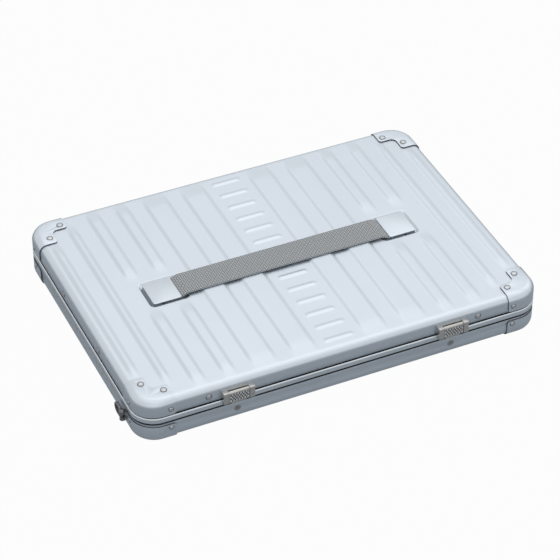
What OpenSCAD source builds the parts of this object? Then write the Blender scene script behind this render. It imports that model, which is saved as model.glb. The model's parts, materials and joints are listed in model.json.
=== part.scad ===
// Slim aluminium laptop case, closed and lying flat.
// +X runs to the right along the front, +Y to the hinged back, +Z up.
// The origin is the middle of the footprint on the surface that the corner caps rest on.

/* [Body] */
// Width of the sheet body along X
body_w = 390; // [370:1:440]
// Depth of the sheet body along Y
body_d = 280; // [270:1:320]
// Closed height of the sheet body
body_h = 44; // [43:0.5:52]
// Plan radius of the four upright corners
corner_r = 21.5; // [18:0.5:24]
// Radius between the side walls and the flat faces
edge_r = 6.8; // [5:0.2:7.6]
// Thickness of the drawn sheet
sheet_t = 1.2; // [1:0.1:1.3]

/* [Parting frames] */
// Height of the base rim over the underside of the base sheet
rim_h = 20.6; // [20:0.2:21.4]
// Open gap between the base rim and the lid band
seam_gap = 1.1; // [0.8:0.1:1.4]
// Height of the rim lip that covers the edge of the base sheet
lip_h = 2.6; // [2.2:0.1:2.8]
// How far the rim lip stands out of the base sheet
lip_out = 0.35; // [0.2:0.05:0.5]
// Rounding of the rim lip's top edge
lip_r = 1.3; // [0.8:0.1:1.4]
// Height of the lid band
band_h = 5.1; // [4.8:0.1:5.6]
// How far the lid band stands out of the lid sheet
band_out = 1.15; // [0.9:0.05:1.2]
// Bevel along the lid band's top edge
band_bevel = 0.8; // [0.4:0.1:0.9]
// Height of the groove between the lid band and the lid sheet
groove_h = 0.8; // [0.6:0.1:1]
// Depth of that groove behind the face of the lid sheet
groove_in = 0.7; // [0.5:0.1:0.9]
// Width of the frames, from the face of the sheet inwards
frame_w = 6.2; // [5.8:0.1:6.4]
// Depth of the base frame's head
rim_head_h = 3.6; // [3.2:0.1:3.8]
// Thickness of the frame legs that are riveted to the walls
leg_t = 1.2; // [1:0.1:1.4]
// Height where the leg of the base frame starts
base_leg_z = 8.4; // [8:0.1:8.6]
// Gap between the leg of the lid frame and the lid sheet's edge radius
lid_leg_gap = 0.2; // [0.1:0.1:0.4]
// Height of the tongue over the base rim
tongue_h = 2.3; // [2:0.1:2.4]
// Thickness of the tongue
tongue_t = 1.2; // [1:0.1:1.3]
// Distance of the tongue's outer face from the face of the sheet
tongue_in = 3.4; // [3.3:0.1:3.5]
// Clearance of the tongue in its channel on each side
tongue_clear = 0.4; // [0.3:0.05:0.45]
// Thickness of the rubber seal over the tongue
seal_t = 1.2; // [1:0.1:1.4]
// Clearance of the seal in its channel on each side
seal_clear = 0.1; // [0.05:0.05:0.2]

/* [Corner caps] */
// Thickness of the corner caps
cap_t = 1.1; // [0.9:0.1:1.2]
// Length of the caps along the long sides
cap_len_x = 33.5; // [33:0.5:37]
// Length of the caps along the short sides
cap_len_y = 36.6; // [36:0.2:39]
// Width of the cap arm along the long side
cap_arm_long = 19.3; // [18.5:0.1:20]
// Width of the cap arm along the short side
cap_arm_short = 18; // [17.5:0.1:18.5]
// Rounding of the cap's free corners
cap_tip_r = 3; // [2:0.5:3.5]
// Fillet in the inner corner of the cap
cap_fillet_r = 5; // [4:0.5:6]
// Gap between the base caps and the rim lip
base_cap_gap = 1; // [0.8:0.1:1.2]
// Gap between the lid caps and the groove
lid_cap_gap = 0.4; // [0.2:0.1:0.8]

/* [Pressed ribs] */
// Height of the raised ribs in the lid
rib_h = 1.2; // [0.8:0.1:1.3]
// Width of a rib's sloping flank
rib_flank = 3.6; // [2.4:0.2:4]
// Width of the four wide ribs, middle of flank to middle of flank
rib_wide_w = 21.4; // [18:0.2:23]
// Distance of the inner wide ribs from the middle
rib_wide_x1 = 34.3; // [33:0.1:35]
// Distance of the outer wide ribs from the middle
rib_wide_x2 = 72.6; // [71:0.1:73]
// Distance of the wide ribs' ends from the long sides
rib_wide_in = 13; // [12:0.5:20]
// Width of the split ribs beside the strap plates
rib_split_w = 10.4; // [8:0.2:11]
// Distance of the inner split ribs from the middle
rib_split_x1 = 105.8; // [104:0.2:107]
// Distance of the outer split ribs from the middle
rib_split_x2 = 134; // [132:0.2:136]
// Distance of the split ribs' inner ends from the middle
rib_split_y = 30; // [28:0.5:40]
// Width of the ribs next to the corner caps
rib_edge_w = 6.2; // [5:0.2:8]
// Distance of the first edge ribs from the short sides
rib_edge_in1 = 35.6; // [35:0.2:39]
// Gap between the ends of the first edge ribs and the caps
rib_edge_gap1 = 4.7; // [3:0.1:12]
// Distance of the second edge ribs from the short sides
rib_edge_in2 = 13.4; // [13:0.2:15]
// Gap between the ends of the second edge ribs and the caps
rib_edge_gap2 = 5.4; // [3:0.1:12]
// Length of the short ridges in the middle column, along X
ridge_l = 26.4; // [20:0.2:30]
// Width of the short ridges
ridge_w = 3.8; // [3:0.1:5]
// Width of a short ridge's sloping flank
ridge_flank = 2; // [1:0.2:2.4]
// Height of the short ridges
ridge_h = 0.9; // [0.6:0.1:1]
// Distance of the first ridge from the middle
ridge_y = 28.4; // [26:0.2:30]
// Distance from one ridge to the next
ridge_pitch = 19.2; // [18:0.1:19.4]
// Ridges on each side of the strap
ridge_count = 6; // [2:1:6]

/* [Rivets] */
// Radius of the rivet heads on the lid's top and on its band of frame rivets
rivet_head_r = 3.2; // [2.8:0.1:3.4]
// Radius of the smaller rivet heads on the corner caps' sides, latches and hinges
side_head_r = 2.6; // [2.4:0.1:2.8]
// Height of the rivet heads
rivet_head_h = 0.9; // [0.6:0.1:1]
// Radius of the rivet shanks
rivet_r = 1.5; // [1.2:0.1:1.6]
// Radius of the flattened inner rivet ends
rivet_tail_r = 2.3; // [2.1:0.1:2.6]
// Height of the flattened inner rivet ends
rivet_tail_h = 0.6; // [0.4:0.1:0.6]
// Clearance of the shanks in their holes
rivet_clear = 0.05; // [0.02:0.01:0.08]
// Distance of the cap rivet on the long arm from the cap's end
cap_rivet_end1 = 5.5; // [4.6:0.1:6.5]
// Distance of that rivet from the long side
cap_rivet_in1 = 13.6; // [12:0.2:14]
// Distance of the cap rivet on the short arm from the cap's end
cap_rivet_end2 = 8.1; // [6.6:0.1:8.6]
// Distance of that rivet from the short side
cap_rivet_in2 = 12.8; // [12:0.2:13]
// Distance of the side rivets from the caps' ends on the long sides
side_rivet_end_x = 4.8; // [4.4:0.1:6.4]
// Distance of the side rivets from the caps' ends on the short sides
side_rivet_end_y = 14; // [13.6:0.1:14.6]
// Distance of the side rivets in the base below its rim
base_rivet_drop = 7; // [6.8:0.1:7.4]
// Distance of the side rivets in the lid below its flat top
lid_rivet_drop = 9.8; // [9.6:0.1:11]
// Place of the lid frame's own rivets along X
frame_rivet_x = 130.8; // [128:0.2:134]
// Place of the lid frame's own rivets along Y
frame_rivet_y = 43; // [30:1:60]

/* [Latches] */
// Distance of the latches from the middle
latch_x = 104.2; // [90:0.5:120]
// Width of a latch housing
latch_w = 29.4; // [28:0.2:34]
// Width of the ears of a latch housing
ear_w = 4.8; // [4:0.1:5]
// How far the ears stand out of the lid sheet
ear_out = 5.2; // [5.1:0.1:6]
// Distance of the top of the housing below the lid's flat top
latch_drop = 7.7; // [7.2:0.1:8]
// Height of the ears' lower end over the lid band's lower edge
ear_low_up = 2.2; // [1.9:0.1:3.3]
// Rounding of the ears' front edges
ear_round = 1; // [0.6:0.1:1.4]
// Thickness of the housing's back plate
latch_plate_t = 0.8; // [0.6:0.1:0.9]
// Clearance between the flap and its ears
flap_clear = 0.3; // [0.25:0.05:0.5]
// Radius of the flap's barrel
flap_barrel_r = 1.75; // [1.6:0.05:1.8]
// Distance of the flap's pin from the lid sheet
flap_pin_out = 3.1; // [3.05:0.05:3.2]
// Thickness of the flap's front plate
flap_t = 1.4; // [1.2:0.1:1.5]
// Height of the flap's lower end over the ears' lower end
flap_low_up = 0.7; // [0.5:0.1:1.1]
// Radius of the flap's pin
flap_pin_r = 0.8; // [0.6:0.05:0.9]
// Running clearance of the flap on its pin
flap_pin_clear = 0.05; // [0.03:0.01:0.09]
// Width of the claw under the flap
claw_w = 14; // [12:0.5:15]
// Height of the claw's tooth
tooth_h = 0.8; // [0.6:0.1:0.9]
// Reach of the claw's tooth towards the case
tooth_reach = 1.3; // [1:0.1:1.4]
// Clearance between the tooth and the keeper's lip
tooth_clear = 0.3; // [0.2:0.05:0.4]
// Thickness of the keeper plate
keeper_t = 1.2; // [1:0.1:1.3]
// Height of the keeper's lip over the base rim
keeper_up = 3.2; // [3:0.1:3.4]
// Thickness of the keeper's lip
keeper_lip_t = 0.8; // [0.6:0.1:0.9]
// How far the keeper's lip reaches out of the sheet face
keeper_lip_out = 1.1; // [0.9:0.05:1.2]
// Lower end of the keeper plate
keeper_low_z = 7.4; // [7:0.1:7.6]
// Clearance round the keeper in the lid frame's notch
notch_clear = 0.8; // [0.6:0.1:1]
// Distance of the latch rivets from the latch's middle
latch_rivet_x = 5.6; // [4.5:0.2:6.5]
// Distance of the latch rivets below the flap's pin
latch_rivet_drop = 3.2; // [3:0.1:3.4]

/* [Locks] */
// Distance of the key locks below the base rim
lock_drop = 8.4; // [8.4:0.1:8.6]
// Radius of a lock barrel
lock_r = 3.3; // [3:0.1:3.4]
// Length of a lock barrel
lock_l = 5.4; // [5:0.1:5.4]
// Radius of the turning plug
plug_r = 2.2; // [1.8:0.1:2.3]
// Running clearance of the plug
plug_clear = 0.05; // [0.03:0.01:0.09]
// Depth of the plug's face behind the sheet
plug_in = 0.9; // [0.5:0.1:1]
// Width of the keyway
keyway_w = 0.8; // [0.5:0.1:1]
// Radius of the disc behind the plug
plug_disc_r = 2.9; // [2.6:0.1:3]
// Thickness of that disc
plug_disc_t = 0.5; // [0.4:0.05:0.6]
// Gap between the barrel and that disc
plug_disc_gap = 0.3; // [0.2:0.05:0.35]
// Radius over the corners of the lock nuts
nut_r = 4.7; // [4.4:0.1:4.7]
// Thickness of the lock nuts
nut_t = 1.8; // [1.4:0.1:2]

/* [Hinges] */
// Distance of the hinges from the middle
hinge_x = 104.5; // [80:0.5:108]
// Length of a hinge
hinge_l = 36; // [34:0.5:40]
// Length of the end knuckles
knuckle_l = 10; // [8.5:0.5:11]
// Gap between neighbouring knuckles
knuckle_gap = 0.3; // [0.2:0.05:0.5]
// Radius of the knuckles
knuckle_r = 1.85; // [1.8:0.05:2.2]
// Distance of the knuckles from the sheet
knuckle_off = 1.5; // [1.5:0.05:1.7]
// Thickness of the hinge leaves
leaf_t = 1.2; // [1:0.1:1.4]
// Lower end of the base leaf
leaf_low_z = 8; // [7.6:0.1:8.2]
// Distance of the lid leaf's upper end below the lid's flat top
leaf_drop = 7.5; // [7.2:0.1:8]
// Radius of the hinge pins
hinge_pin_r = 0.85; // [0.7:0.05:0.9]
// Running clearance of the lid knuckles on their pins
hinge_pin_clear = 0.05; // [0.03:0.01:0.09]
// Clearance of a leaf round the other leaf's knuckle
leaf_clear = 0.5; // [0.4:0.05:0.6]
// Distance of the hinge rivets from the hinge's middle
hinge_rivet_x = 12; // [11:0.5:13]
// Distance of the rivets in the base leaf below the base rim
hinge_rivet_drop = 8; // [7.6:0.1:8.6]

/* [Strap handle] */
// How far the strap's centre line lies in front of the lid's middle
strap_shift = 1.6; // [0:0.1:2.5]
// Width of the webbing
strap_w = 28.6; // [24:0.2:30]
// Thickness of the webbing
strap_t = 1.6; // [1.2:0.1:1.8]
// Clearance under and over the webbing
strap_clear = 0.3; // [0.2:0.05:0.35]
// Distance of the strap's end bends from the middle
strap_bend_x = 86; // [84:0.5:87]
// Length of the sloping stretch at each end
strap_slope_l = 18; // [16:0.5:18]
// Distance of the strap's ends from the middle
strap_end_x = 120; // [116:0.5:120]
// Gap between the pieces of the strap at a bend
strap_cut = 0.3; // [0.2:0.05:0.4]
// Distance of the plates' inner edges from the middle
plate_x = 104; // [103:0.5:105]
// Length of the end plates
plate_l = 27; // [26:0.5:28]
// Width of the end plates
plate_w = 31.4; // [31:0.1:33]
// Thickness of the end plates
plate_t = 0.8; // [0.6:0.1:0.9]
// Height of the plates' top over the lid sheet
plate_up = 1.2; // [1.1:0.1:1.4]
// Corner radius of the end plates
plate_r = 2; // [1:0.1:3]
// Length of the foot under each plate
foot_l = 9; // [8:0.5:9.2]
// Width of the foot under each plate
foot_w = 26; // [24:0.5:27]
// Radius of the studs under each plate
stud_r = 1.5; // [1.2:0.1:1.6]
// Distance of the studs from the strap's centre line
stud_y = 9; // [8:0.5:10]
// Depth of the pockets for the plates
pocket_deep = 1.8; // [1.7:0.1:1.8]
// Inner end of the wide part of the pockets
pocket_x = 99.5; // [99:0.5:100]
// Length of the wide part of the pockets
pocket_l = 33.8; // [33:0.2:34.4]
// Width of the wide part of the pockets
pocket_w = 34.4; // [33.6:0.2:36]
// Corner radius of the pockets
pocket_r = 4; // [3:0.5:5]
// Inner end of the narrow channel under the strap
channel_x = 87; // [86.5:0.5:87.5]
// Clearance beside the strap in the channel
channel_clear = 0.5; // [0.4:0.1:0.6]
// Thickness of the backing plates inside the lid
backing_t = 1; // [0.8:0.1:1.2]
// Margin of the backing plates round the studs along X
backing_margin = 5; // [4:0.5:6]

/* [Shoulder-strap rings] */
// Distance of the ring posts from the caps' ends on the short sides
ring_end = 4.2; // [4:0.1:4.4]
// Distance of the ring posts below the base rim
ring_drop = 8; // [7.6:0.1:8.6]
// Radius of the post's round flange
post_flange_r = 3.8; // [3.6:0.1:3.8]
// Thickness of that flange
post_flange_t = 1; // [0.8:0.1:1]
// Height of the post's barrel
post_h = 10; // [9:0.2:10.4]
// Width of the post's barrel
post_w = 5.2; // [5:0.1:5.4]
// Distance of the ring's pin from the cap
ring_pin_out = 2.8; // [2.75:0.05:3.1]
// Radius of the ring's pin
ring_pin_r = 0.7; // [0.6:0.05:0.75]
// Running clearance of the ring on its pin
ring_pin_clear = 0.05; // [0.03:0.01:0.09]
// Thickness of the ring, out from the case
ring_t = 2.4; // [2.2:0.1:2.4]
// Width of the ring's bars
ring_bar = 2.2; // [1.8:0.1:2.6]
// Width of the ring
ring_w = 11; // [10:0.2:12]
// Corner radius of the ring beside its post
ring_heel_r = 2.4; // [1.6:0.2:3]
// Height of the ring's eye between the post's cheeks
ring_eye_h = 3.6; // [3:0.2:4.4]
// Clearance between the ring and its post
ring_clear = 0.3; // [0.25:0.05:0.35]
// Length of the ring from its pin to its far end
ring_l = 16; // [14:0.1:18]

/* [Lining] */
// Distance of the foam lining from the faces of the sheet walls
foam_in = 7; // [6.8:0.1:7.6]
// Corner radius of the foam lining
foam_r = 14; // [13.5:0.5:16]
// Clearance of the foam over the base sheet's rivets and under the lid's
foam_clear = 0.3; // [0.25:0.05:0.4]
// Thickness of the tray's floor
tray_floor = 3.6; // [3:0.1:4.4]
// Gap between the tray's top and the base rim
tray_drop = 0.3; // [0.2:0.1:1]
// Width of the tray's walls
tray_wall = 8; // [6:0.5:10]
// Corner radius of the tray's hollow
tray_r = 6; // [4:0.5:8]
// Height of the lid pad's face over the base sheet
pad_z = 32; // [30:0.5:34]
// Clearance of the lid pad round the pockets
pad_clear = 0.5; // [0.4:0.1:0.8]

/* [Hidden] */
$fn = 48;

fine = 24;            // facets of small round pieces
cut = 1;              // how far a cutter runs past what it cuts
quarter = 90;         // one corner of a swept outline, in degrees

alu = "#c3c9ce";
nickel = "#a8a39b";
steel = "#8b8f94";
web_grey = "#a6a8a8";
foam_grey = "#3a3d42";
rubber = "#26282b";
gunmetal = "#55585c";

side_x = body_w / 2;
side_y = body_d / 2;
cap_x = side_x - cap_len_x;                   // where the caps start, from the middle
cap_y = side_y - cap_len_y;
cap_rivet_x1 = cap_x + cap_rivet_end1;
cap_rivet_y2 = cap_y + cap_rivet_end2;
side_rivet_x = cap_x + side_rivet_end_x;
side_rivet_y = cap_y + side_rivet_end_y;
lid_rivet_z = body_h - lid_rivet_drop;
base_rivet_z = rim_h - base_rivet_drop;
lock_z = rim_h - lock_drop;
rib_wide_l = body_d - 2 * rib_wide_in;
rib_edge_x1 = side_x - rib_edge_in1;
rib_edge_l1 = body_d - 2 * (cap_arm_long + rib_edge_gap1);
rib_edge_x2 = side_x - rib_edge_in2;
rib_edge_l2 = 2 * (cap_y - rib_edge_gap2);
flat_r = corner_r - edge_r;                   // corner radius of the flat faces
inner_edge_r = edge_r - sheet_t;
lip_z = rim_h - lip_h;                        // where the base sheet ends
band_z = rim_h + seam_gap;
band_top_z = band_z + band_h;
lid_sheet_z = band_top_z + groove_h;          // where the lid sheet starts
base_cap_z = lip_z - base_cap_gap;            // where the base caps end
lid_cap_z = lid_sheet_z + lid_cap_gap;        // where the lid caps end
leg_in = sheet_t + leg_t;                     // inner face of the frame legs
lid_leg_z = body_h - edge_r - lid_leg_gap;    // where the lid frame's leg ends
tongue_top_z = rim_h + tongue_h;
channel_out = tongue_in - tongue_clear;       // outer face of the tongue's channel
channel_w = tongue_t + 2 * tongue_clear;
seal_z = tongue_top_z + foam_clear;
seal_top_z = seal_z + seal_t;
lid_in_z = body_h - sheet_t;                  // inner face of the lid's top
pocket_z = body_h - pocket_deep;              // floor of the strap pockets
pocket_in_z = pocket_z - sheet_t;
backing_z = pocket_in_z - backing_t;
rib_top_z = body_h + rib_h;
strap_z = rib_top_z + strap_clear;            // underside of the webbing on the ribs
strap_low_x = strap_bend_x + strap_slope_l;
strap_y = -strap_shift;                       // centre line of the strap
plate_z = body_h + plate_up - plate_t;
strap_low_z = plate_z - strap_clear - strap_t; // underside of the webbing under the plates
plate_end_x = plate_x + plate_l;
stud_x = plate_end_x - foot_l / 2;
keeper_z = rim_h + keeper_up;                 // top of the keeper's lip
keeper_half = claw_w / 2 + 1;
notch_half = keeper_half + notch_clear;
keeper_in = sheet_t + keeper_t;               // inner face of the keeper plates
hinge_pin_z = rim_h + seam_gap / 2;
hinge_pin_out = knuckle_off + knuckle_r;
leaf_out = knuckle_off + leaf_t;              // outer face of the hinge leaves
latch_top_z = body_h - latch_drop;
leaf_top_z = body_h - leaf_drop;
hinge_rivet_lid_z = (lid_cap_z + leaf_top_z) / 2;
hinge_rivet_base_z = rim_h - hinge_rivet_drop;
flap_half = latch_w / 2 - ear_w - flap_clear;
flap_front = flap_pin_out + flap_barrel_r;    // front face of the flap
flap_pin_z = latch_top_z - 0.15 - flap_barrel_r;
latch_rivet_z = flap_pin_z - latch_rivet_drop;
ear_low_z = band_z + ear_low_up;              // lower end of the ears
flap_low_z = ear_low_z + flap_low_up;         // lower end of the flap's front plate
arm_out = band_out + 0.45;                    // inner face of the claw's arm
tooth_top_z = keeper_z - keeper_lip_t - tooth_clear;
tooth_z = tooth_top_z - tooth_h;
ring_y = cap_y + ring_end;                    // place of the ring posts, in front of the middle
ring_z = rim_h - ring_drop;
ring_pin_at = cap_t + ring_pin_out;           // axis of the ring's pin, out from the sheet
ring_r = ring_w / 2;                          // outer radius of the ring's bow
ring_heel = post_w / 2 + ring_clear;          // near end of the ring's loop, from its pin
post_base = cap_t + post_flange_t;
foam_w = body_w - 2 * foam_in;
foam_d = body_d - 2 * foam_in;
tray_z = sheet_t + rivet_tail_h + foam_clear;
tray_top_z = rim_h - tray_drop;
pad_top_z = lid_in_z - rivet_tail_h - foam_clear;

// ---------- outlines and sweeps ----------

// Rounded rectangle.
module plate_2d(w, d, r) {
    square([w - 2 * r, d], center = true);
    square([w, d - 2 * r], center = true);
    for (sx = [-1, 1], sy = [-1, 1])
        translate([sx * (w / 2 - r), sy * (d / 2 - r)]) circle(r);
}

// Rounded block, standing from z1 to z2.
module block(w, d, r, z1, z2) {
    translate([0, 0, z1]) linear_extrude(z2 - z1) plate_2d(w, d, r);
}

// Carries a profile round the body. Its x runs out from the face of the sheet, its y up.
module sweep() {
    for (turn = [0, 180]) rotate(turn) {
        translate([side_x, side_y - corner_r, 0]) rotate([90, 0, 0])
            linear_extrude(body_d - 2 * corner_r) children();
        translate([-(side_x - corner_r), side_y, 0]) rotate([90, 0, 90])
            linear_extrude(body_w - 2 * corner_r) children();
    }
    corner_sweep(1, 1) children();
    corner_sweep(-1, 1) children();
    corner_sweep(-1, -1) children();
    corner_sweep(1, -1) children();
}

// The same profile round one upright corner.
module corner_sweep(sx, sy) {
    start = sx > 0 ? (sy > 0 ? 0 : 270) : (sy > 0 ? 90 : 180);
    translate([sx * (side_x - corner_r), sy * (side_y - corner_r), 0])
        rotate(start) rotate_extrude(angle = quarter) translate([corner_r, 0]) children();
}

// Box in a profile: from out1 to out2 across, from z1 to z2 up.
module bar_2d(out1, out2, z1, z2) {
    translate([out1, z1]) square([out2 - out1, z2 - z1]);
}

// Quarter ring that turns a wall into a flat face at height z; up is 1 for the lid, -1 for the base.
module edge_2d(r_out, r_in, z, up) {
    translate([-edge_r, z - up * edge_r]) intersection() {
        difference() {
            circle(r_out);
            circle(r_in);
        }
        translate([0, up > 0 ? 0 : -r_out - cut]) square(r_out + cut);
    }
}

// Profile piece pulled along X on the front (side -1) or the back (side 1), centred on x.
module along_x(x, len, side) {
    translate([x, side * side_y, 0]) mirror([0, side < 0 ? 1 : 0, 0])
        translate([-len / 2, 0, 0]) rotate([90, 0, 90]) linear_extrude(len) children();
}

// Upright axis turned to point out of a side wall. face 0: +Y, 1: -X, 2: -Y, 3: +X.
module on_wall(face, along, z) {
    rotate(90 * face)
        translate([along, face % 2 == 0 ? side_y : side_x, z])
        rotate([-90, 0, 0]) children();
}

// ---------- rivets ----------

// Rivet from a seat at height 0 downwards, through a stack of sheets.
module rivet(stack, head_r = rivet_head_r, head_h = rivet_head_h) {
    crown = head_h * 0.45;
    translate([0, 0, -stack - rivet_tail_h]) cylinder(h = stack + rivet_tail_h + 0.2, r = rivet_r, $fn = fine);
    translate([0, 0, -stack - rivet_tail_h]) cylinder(h = rivet_tail_h, r = rivet_tail_r, $fn = fine);
    cylinder(h = head_h - crown, r = head_r, $fn = fine);
    translate([0, 0, head_h - crown]) cylinder(h = crown, r1 = head_r, r2 = head_r - 2 * crown, $fn = fine);
}

module rivet_hole(depth) {
    translate([0, 0, -depth - cut])
        cylinder(h = depth + cap_t + 2 * cut, r = rivet_r + rivet_clear, $fn = fine);
}

// The four places of the rivets on the flat arms of the caps, for all four corners.
module cap_places() {
    for (sx = [-1, 1], sy = [-1, 1]) {
        translate([sx * cap_rivet_x1, sy * (side_y - cap_rivet_in1), 0]) children();
        translate([sx * (side_x - cap_rivet_in2), sy * cap_rivet_y2, 0]) children();
    }
}

// The side rivets of the caps, pointing out of the walls.
module side_places(z) {
    for (s = [-1, 1]) {
        on_wall(0, s * side_rivet_x, z) children();
        on_wall(2, s * side_rivet_x, z) children();
        on_wall(1, s * side_rivet_y, z) children();
        on_wall(3, s * side_rivet_y, z) children();
    }
}

// The lid frame's own rivets between the caps.
module frame_places(z) {
    for (s = [-1, 1]) {
        on_wall(0, s * frame_rivet_x, z) children();
        on_wall(2, s * frame_rivet_x, z) children();
        on_wall(1, s * frame_rivet_y, z) children();
        on_wall(3, s * frame_rivet_y, z) children();
    }
}

module hinge_rivet_places(z) {
    for (s = [-1, 1], d = [-1, 1])
        on_wall(0, s * hinge_x + d * hinge_rivet_x, z) children();
}

module latch_rivet_places() {
    for (s = [-1, 1], d = [-1, 1])
        on_wall(2, s * latch_x + d * latch_rivet_x, latch_rivet_z) children();
}

module lock_places() {
    for (s = [-1, 1]) on_wall(2, s * latch_x, lock_z) children();
}

module post_places() {
    on_wall(1, -ring_y, ring_z) children();
    on_wall(3, ring_y, ring_z) children();
}

// ---------- shapes shared by several pieces ----------

// Stands the case on its corner caps.
module lift() {
    translate([0, 0, cap_t]) children();
}

// Waste of a rounded corner: the square beside the quarter circle, corner at the origin.
module nip_2d(r) {
    difference() {
        translate([-cut, -cut]) square(r + cut);
        translate([r, r]) circle(r);
    }
}

// Bar with sloping flanks, pulled along X. Its width is measured halfway up the flanks.
module ridge_x(len, w, flank, h) {
    translate([-len / 2, 0, 0]) rotate([90, 0, 90]) linear_extrude(len)
        polygon([[-(w + flank) / 2, 0], [(w + flank) / 2, 0], [(w - flank) / 2, h], [-(w - flank) / 2, h]]);
}

// Raised field with sloping flanks all round, standing on the origin's plane.
module rib(w, len, flank, h) {
    intersection() {
        ridge_x(w + flank, len, flank, h);
        rotate(90) ridge_x(len + flank, w, flank, h);
    }
}

// All the ribs and ridges pressed into the lid.
module ribs() {
    split_l = rib_wide_l / 2 - rib_split_y;
    for (s = [-1, 1]) {
        translate([s * rib_wide_x1, 0, 0]) rib(rib_wide_w, rib_wide_l, rib_flank, rib_h);
        translate([s * rib_wide_x2, 0, 0]) rib(rib_wide_w, rib_wide_l, rib_flank, rib_h);
        translate([s * rib_edge_x1, 0, 0]) rib(rib_edge_w, rib_edge_l1, rib_flank, rib_h);
        translate([s * rib_edge_x2, 0, 0]) rib(rib_edge_w, rib_edge_l2, rib_flank, rib_h);
        for (t = [-1, 1], x = [rib_split_x1, rib_split_x2])
            translate([s * x, t * (rib_split_y + split_l / 2), 0]) rib(rib_split_w, split_l, rib_flank, rib_h);
        for (k = [0:ridge_count - 1])
            translate([0, s * (ridge_y + k * ridge_pitch), 0]) rib(ridge_l, ridge_w, ridge_flank, ridge_h);
    }
}

// Plan of the hollow for one strap plate, on the right.
module pocket_2d(grow) {
    translate([pocket_x + pocket_l / 2, strap_y])
        plate_2d(pocket_l + 2 * grow, pocket_w + 2 * grow, pocket_r + grow);
    channel_half = strap_w / 2 + channel_clear + grow;
    translate([channel_x - grow, strap_y - channel_half])
        square([pocket_x + pocket_r - channel_x + grow, 2 * channel_half]);
}

// Both strap hollows, from z1 to z2.
module pockets(grow, z1, z2) {
    for (s = [0, 1]) mirror([s, 0, 0])
        translate([0, 0, z1]) linear_extrude(z2 - z1) pocket_2d(grow);
}

module stud_places(z) {
    for (sx = [-1, 1], sy = [-1, 1])
        translate([sx * stud_x, strap_y + sy * stud_y, z]) children();
}

// One corner cap of the base, as a wall that ends at top_z.
module cap(top_z) {
    wall_x = side_x - corner_r - cap_x;
    wall_y = side_y - corner_r - cap_y;
    difference() {
        union() {
            translate([cap_x, side_y, 0]) rotate([90, 0, 90]) linear_extrude(wall_x) cap_wall_2d(top_z);
            translate([side_x, side_y - corner_r, 0]) rotate([90, 0, 0])
                linear_extrude(wall_y) cap_wall_2d(top_z);
            corner_sweep(1, 1) cap_wall_2d(top_z);
            translate([0, 0, -cap_t]) linear_extrude(cap_t) cap_flat_2d();
        }
        translate([cap_x, side_y - cut, top_z]) rotate([-90, 0, 0])
            linear_extrude(cap_t + 2 * cut) nip_2d(cap_tip_r);
        translate([side_x - cut, cap_y, top_z]) rotate([0, 90, 0])
            linear_extrude(cap_t + 2 * cut) nip_2d(cap_tip_r);
    }
}

module cap_wall_2d(top_z) {
    bar_2d(0, cap_t, edge_r, top_z);
    edge_2d(edge_r + cap_t, edge_r, 0, -1);
}

// Flat face of a corner cap, with its two arms and the fillet between them.
module cap_flat_2d() {
    in_x = side_x - cap_arm_short;
    in_y = side_y - cap_arm_long;
    mid_x = side_x - corner_r;
    mid_y = side_y - corner_r;
    difference() {
        union() {
            translate([cap_x, in_y]) square([mid_x - cap_x, side_y - edge_r - in_y]);
            translate([in_x, cap_y]) square([side_x - edge_r - in_x, mid_y - cap_y]);
            translate([in_x - cap_fillet_r, in_y - cap_fillet_r]) square(cap_fillet_r);
            intersection() {
                translate([mid_x, mid_y]) circle(flat_r);
                translate([mid_x, mid_y]) square(flat_r + cut);
            }
        }
        translate([in_x - cap_fillet_r, in_y - cap_fillet_r]) circle(cap_fillet_r);
        translate([cap_x, in_y]) nip_2d(cap_tip_r);
        translate([in_x, cap_y]) nip_2d(cap_tip_r);
    }
}

module caps(top_z) {
    for (sx = [0, 1], sy = [0, 1]) mirror([sx, 0, 0]) mirror([0, sy, 0]) cap(top_z);
}

// Cylinder along X, centred on x, at a distance out from the front (-1) or back (1) wall.
module rod_x(x, len, side, out, z, r) {
    translate([x - len / 2, side * (side_y + out), z]) rotate([0, 90, 0]) cylinder(h = len, r = r);
}

// ---------- base ----------

module base_shell() color(alu) lift() {
    difference() {
        union() {
            sweep() {
                bar_2d(-sheet_t, 0, edge_r, lip_z);
                edge_2d(edge_r, inner_edge_r, 0, -1);
            }
            block(body_w - 2 * edge_r, body_d - 2 * edge_r, flat_r, 0, sheet_t);
        }
        cap_places() rivet_hole(2 * sheet_t);
        side_places(base_rivet_z) rivet_hole(sheet_t);
        hinge_rivet_places(hinge_rivet_base_z) rivet_hole(sheet_t);
        post_places() rivet_hole(sheet_t);
        lock_places() lock_hole(sheet_t);
    }
}

module base_frame() color(alu) lift() {
    difference() {
        sweep() base_frame_2d();
        for (s = [-1, 1]) {
            along_x(s * latch_x, 2 * keeper_half + 2 * rivet_clear, -1)
                bar_2d(-keeper_in - rivet_clear, -sheet_t, 0, tongue_top_z);
        }
        side_places(base_rivet_z) rivet_hole(leg_in);
        hinge_rivet_places(hinge_rivet_base_z) rivet_hole(leg_in);
        post_places() rivet_hole(leg_in);
    }
}

module base_frame_2d() {
    difference() {
        bar_2d(-sheet_t, lip_out, lip_z, rim_h);
        translate([lip_out, rim_h]) rotate(180) nip_2d(lip_r);
    }
    bar_2d(-frame_w, -sheet_t, rim_h - rim_head_h, rim_h);
    bar_2d(-leg_in, -sheet_t, base_leg_z, rim_h);
    bar_2d(-tongue_in - tongue_t, -tongue_in, rim_h - cut, tongue_top_z);
}

module base_corner_caps() color(alu) lift() {
    difference() {
        caps(base_cap_z);
        cap_places() rotate([180, 0, 0]) translate([0, 0, cap_t]) sunk_rivet(cap_t + sheet_t, rivet_clear);
        side_places(base_rivet_z) rivet_hole(leg_in);
        post_places() rivet_hole(leg_in);
    }
}

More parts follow.
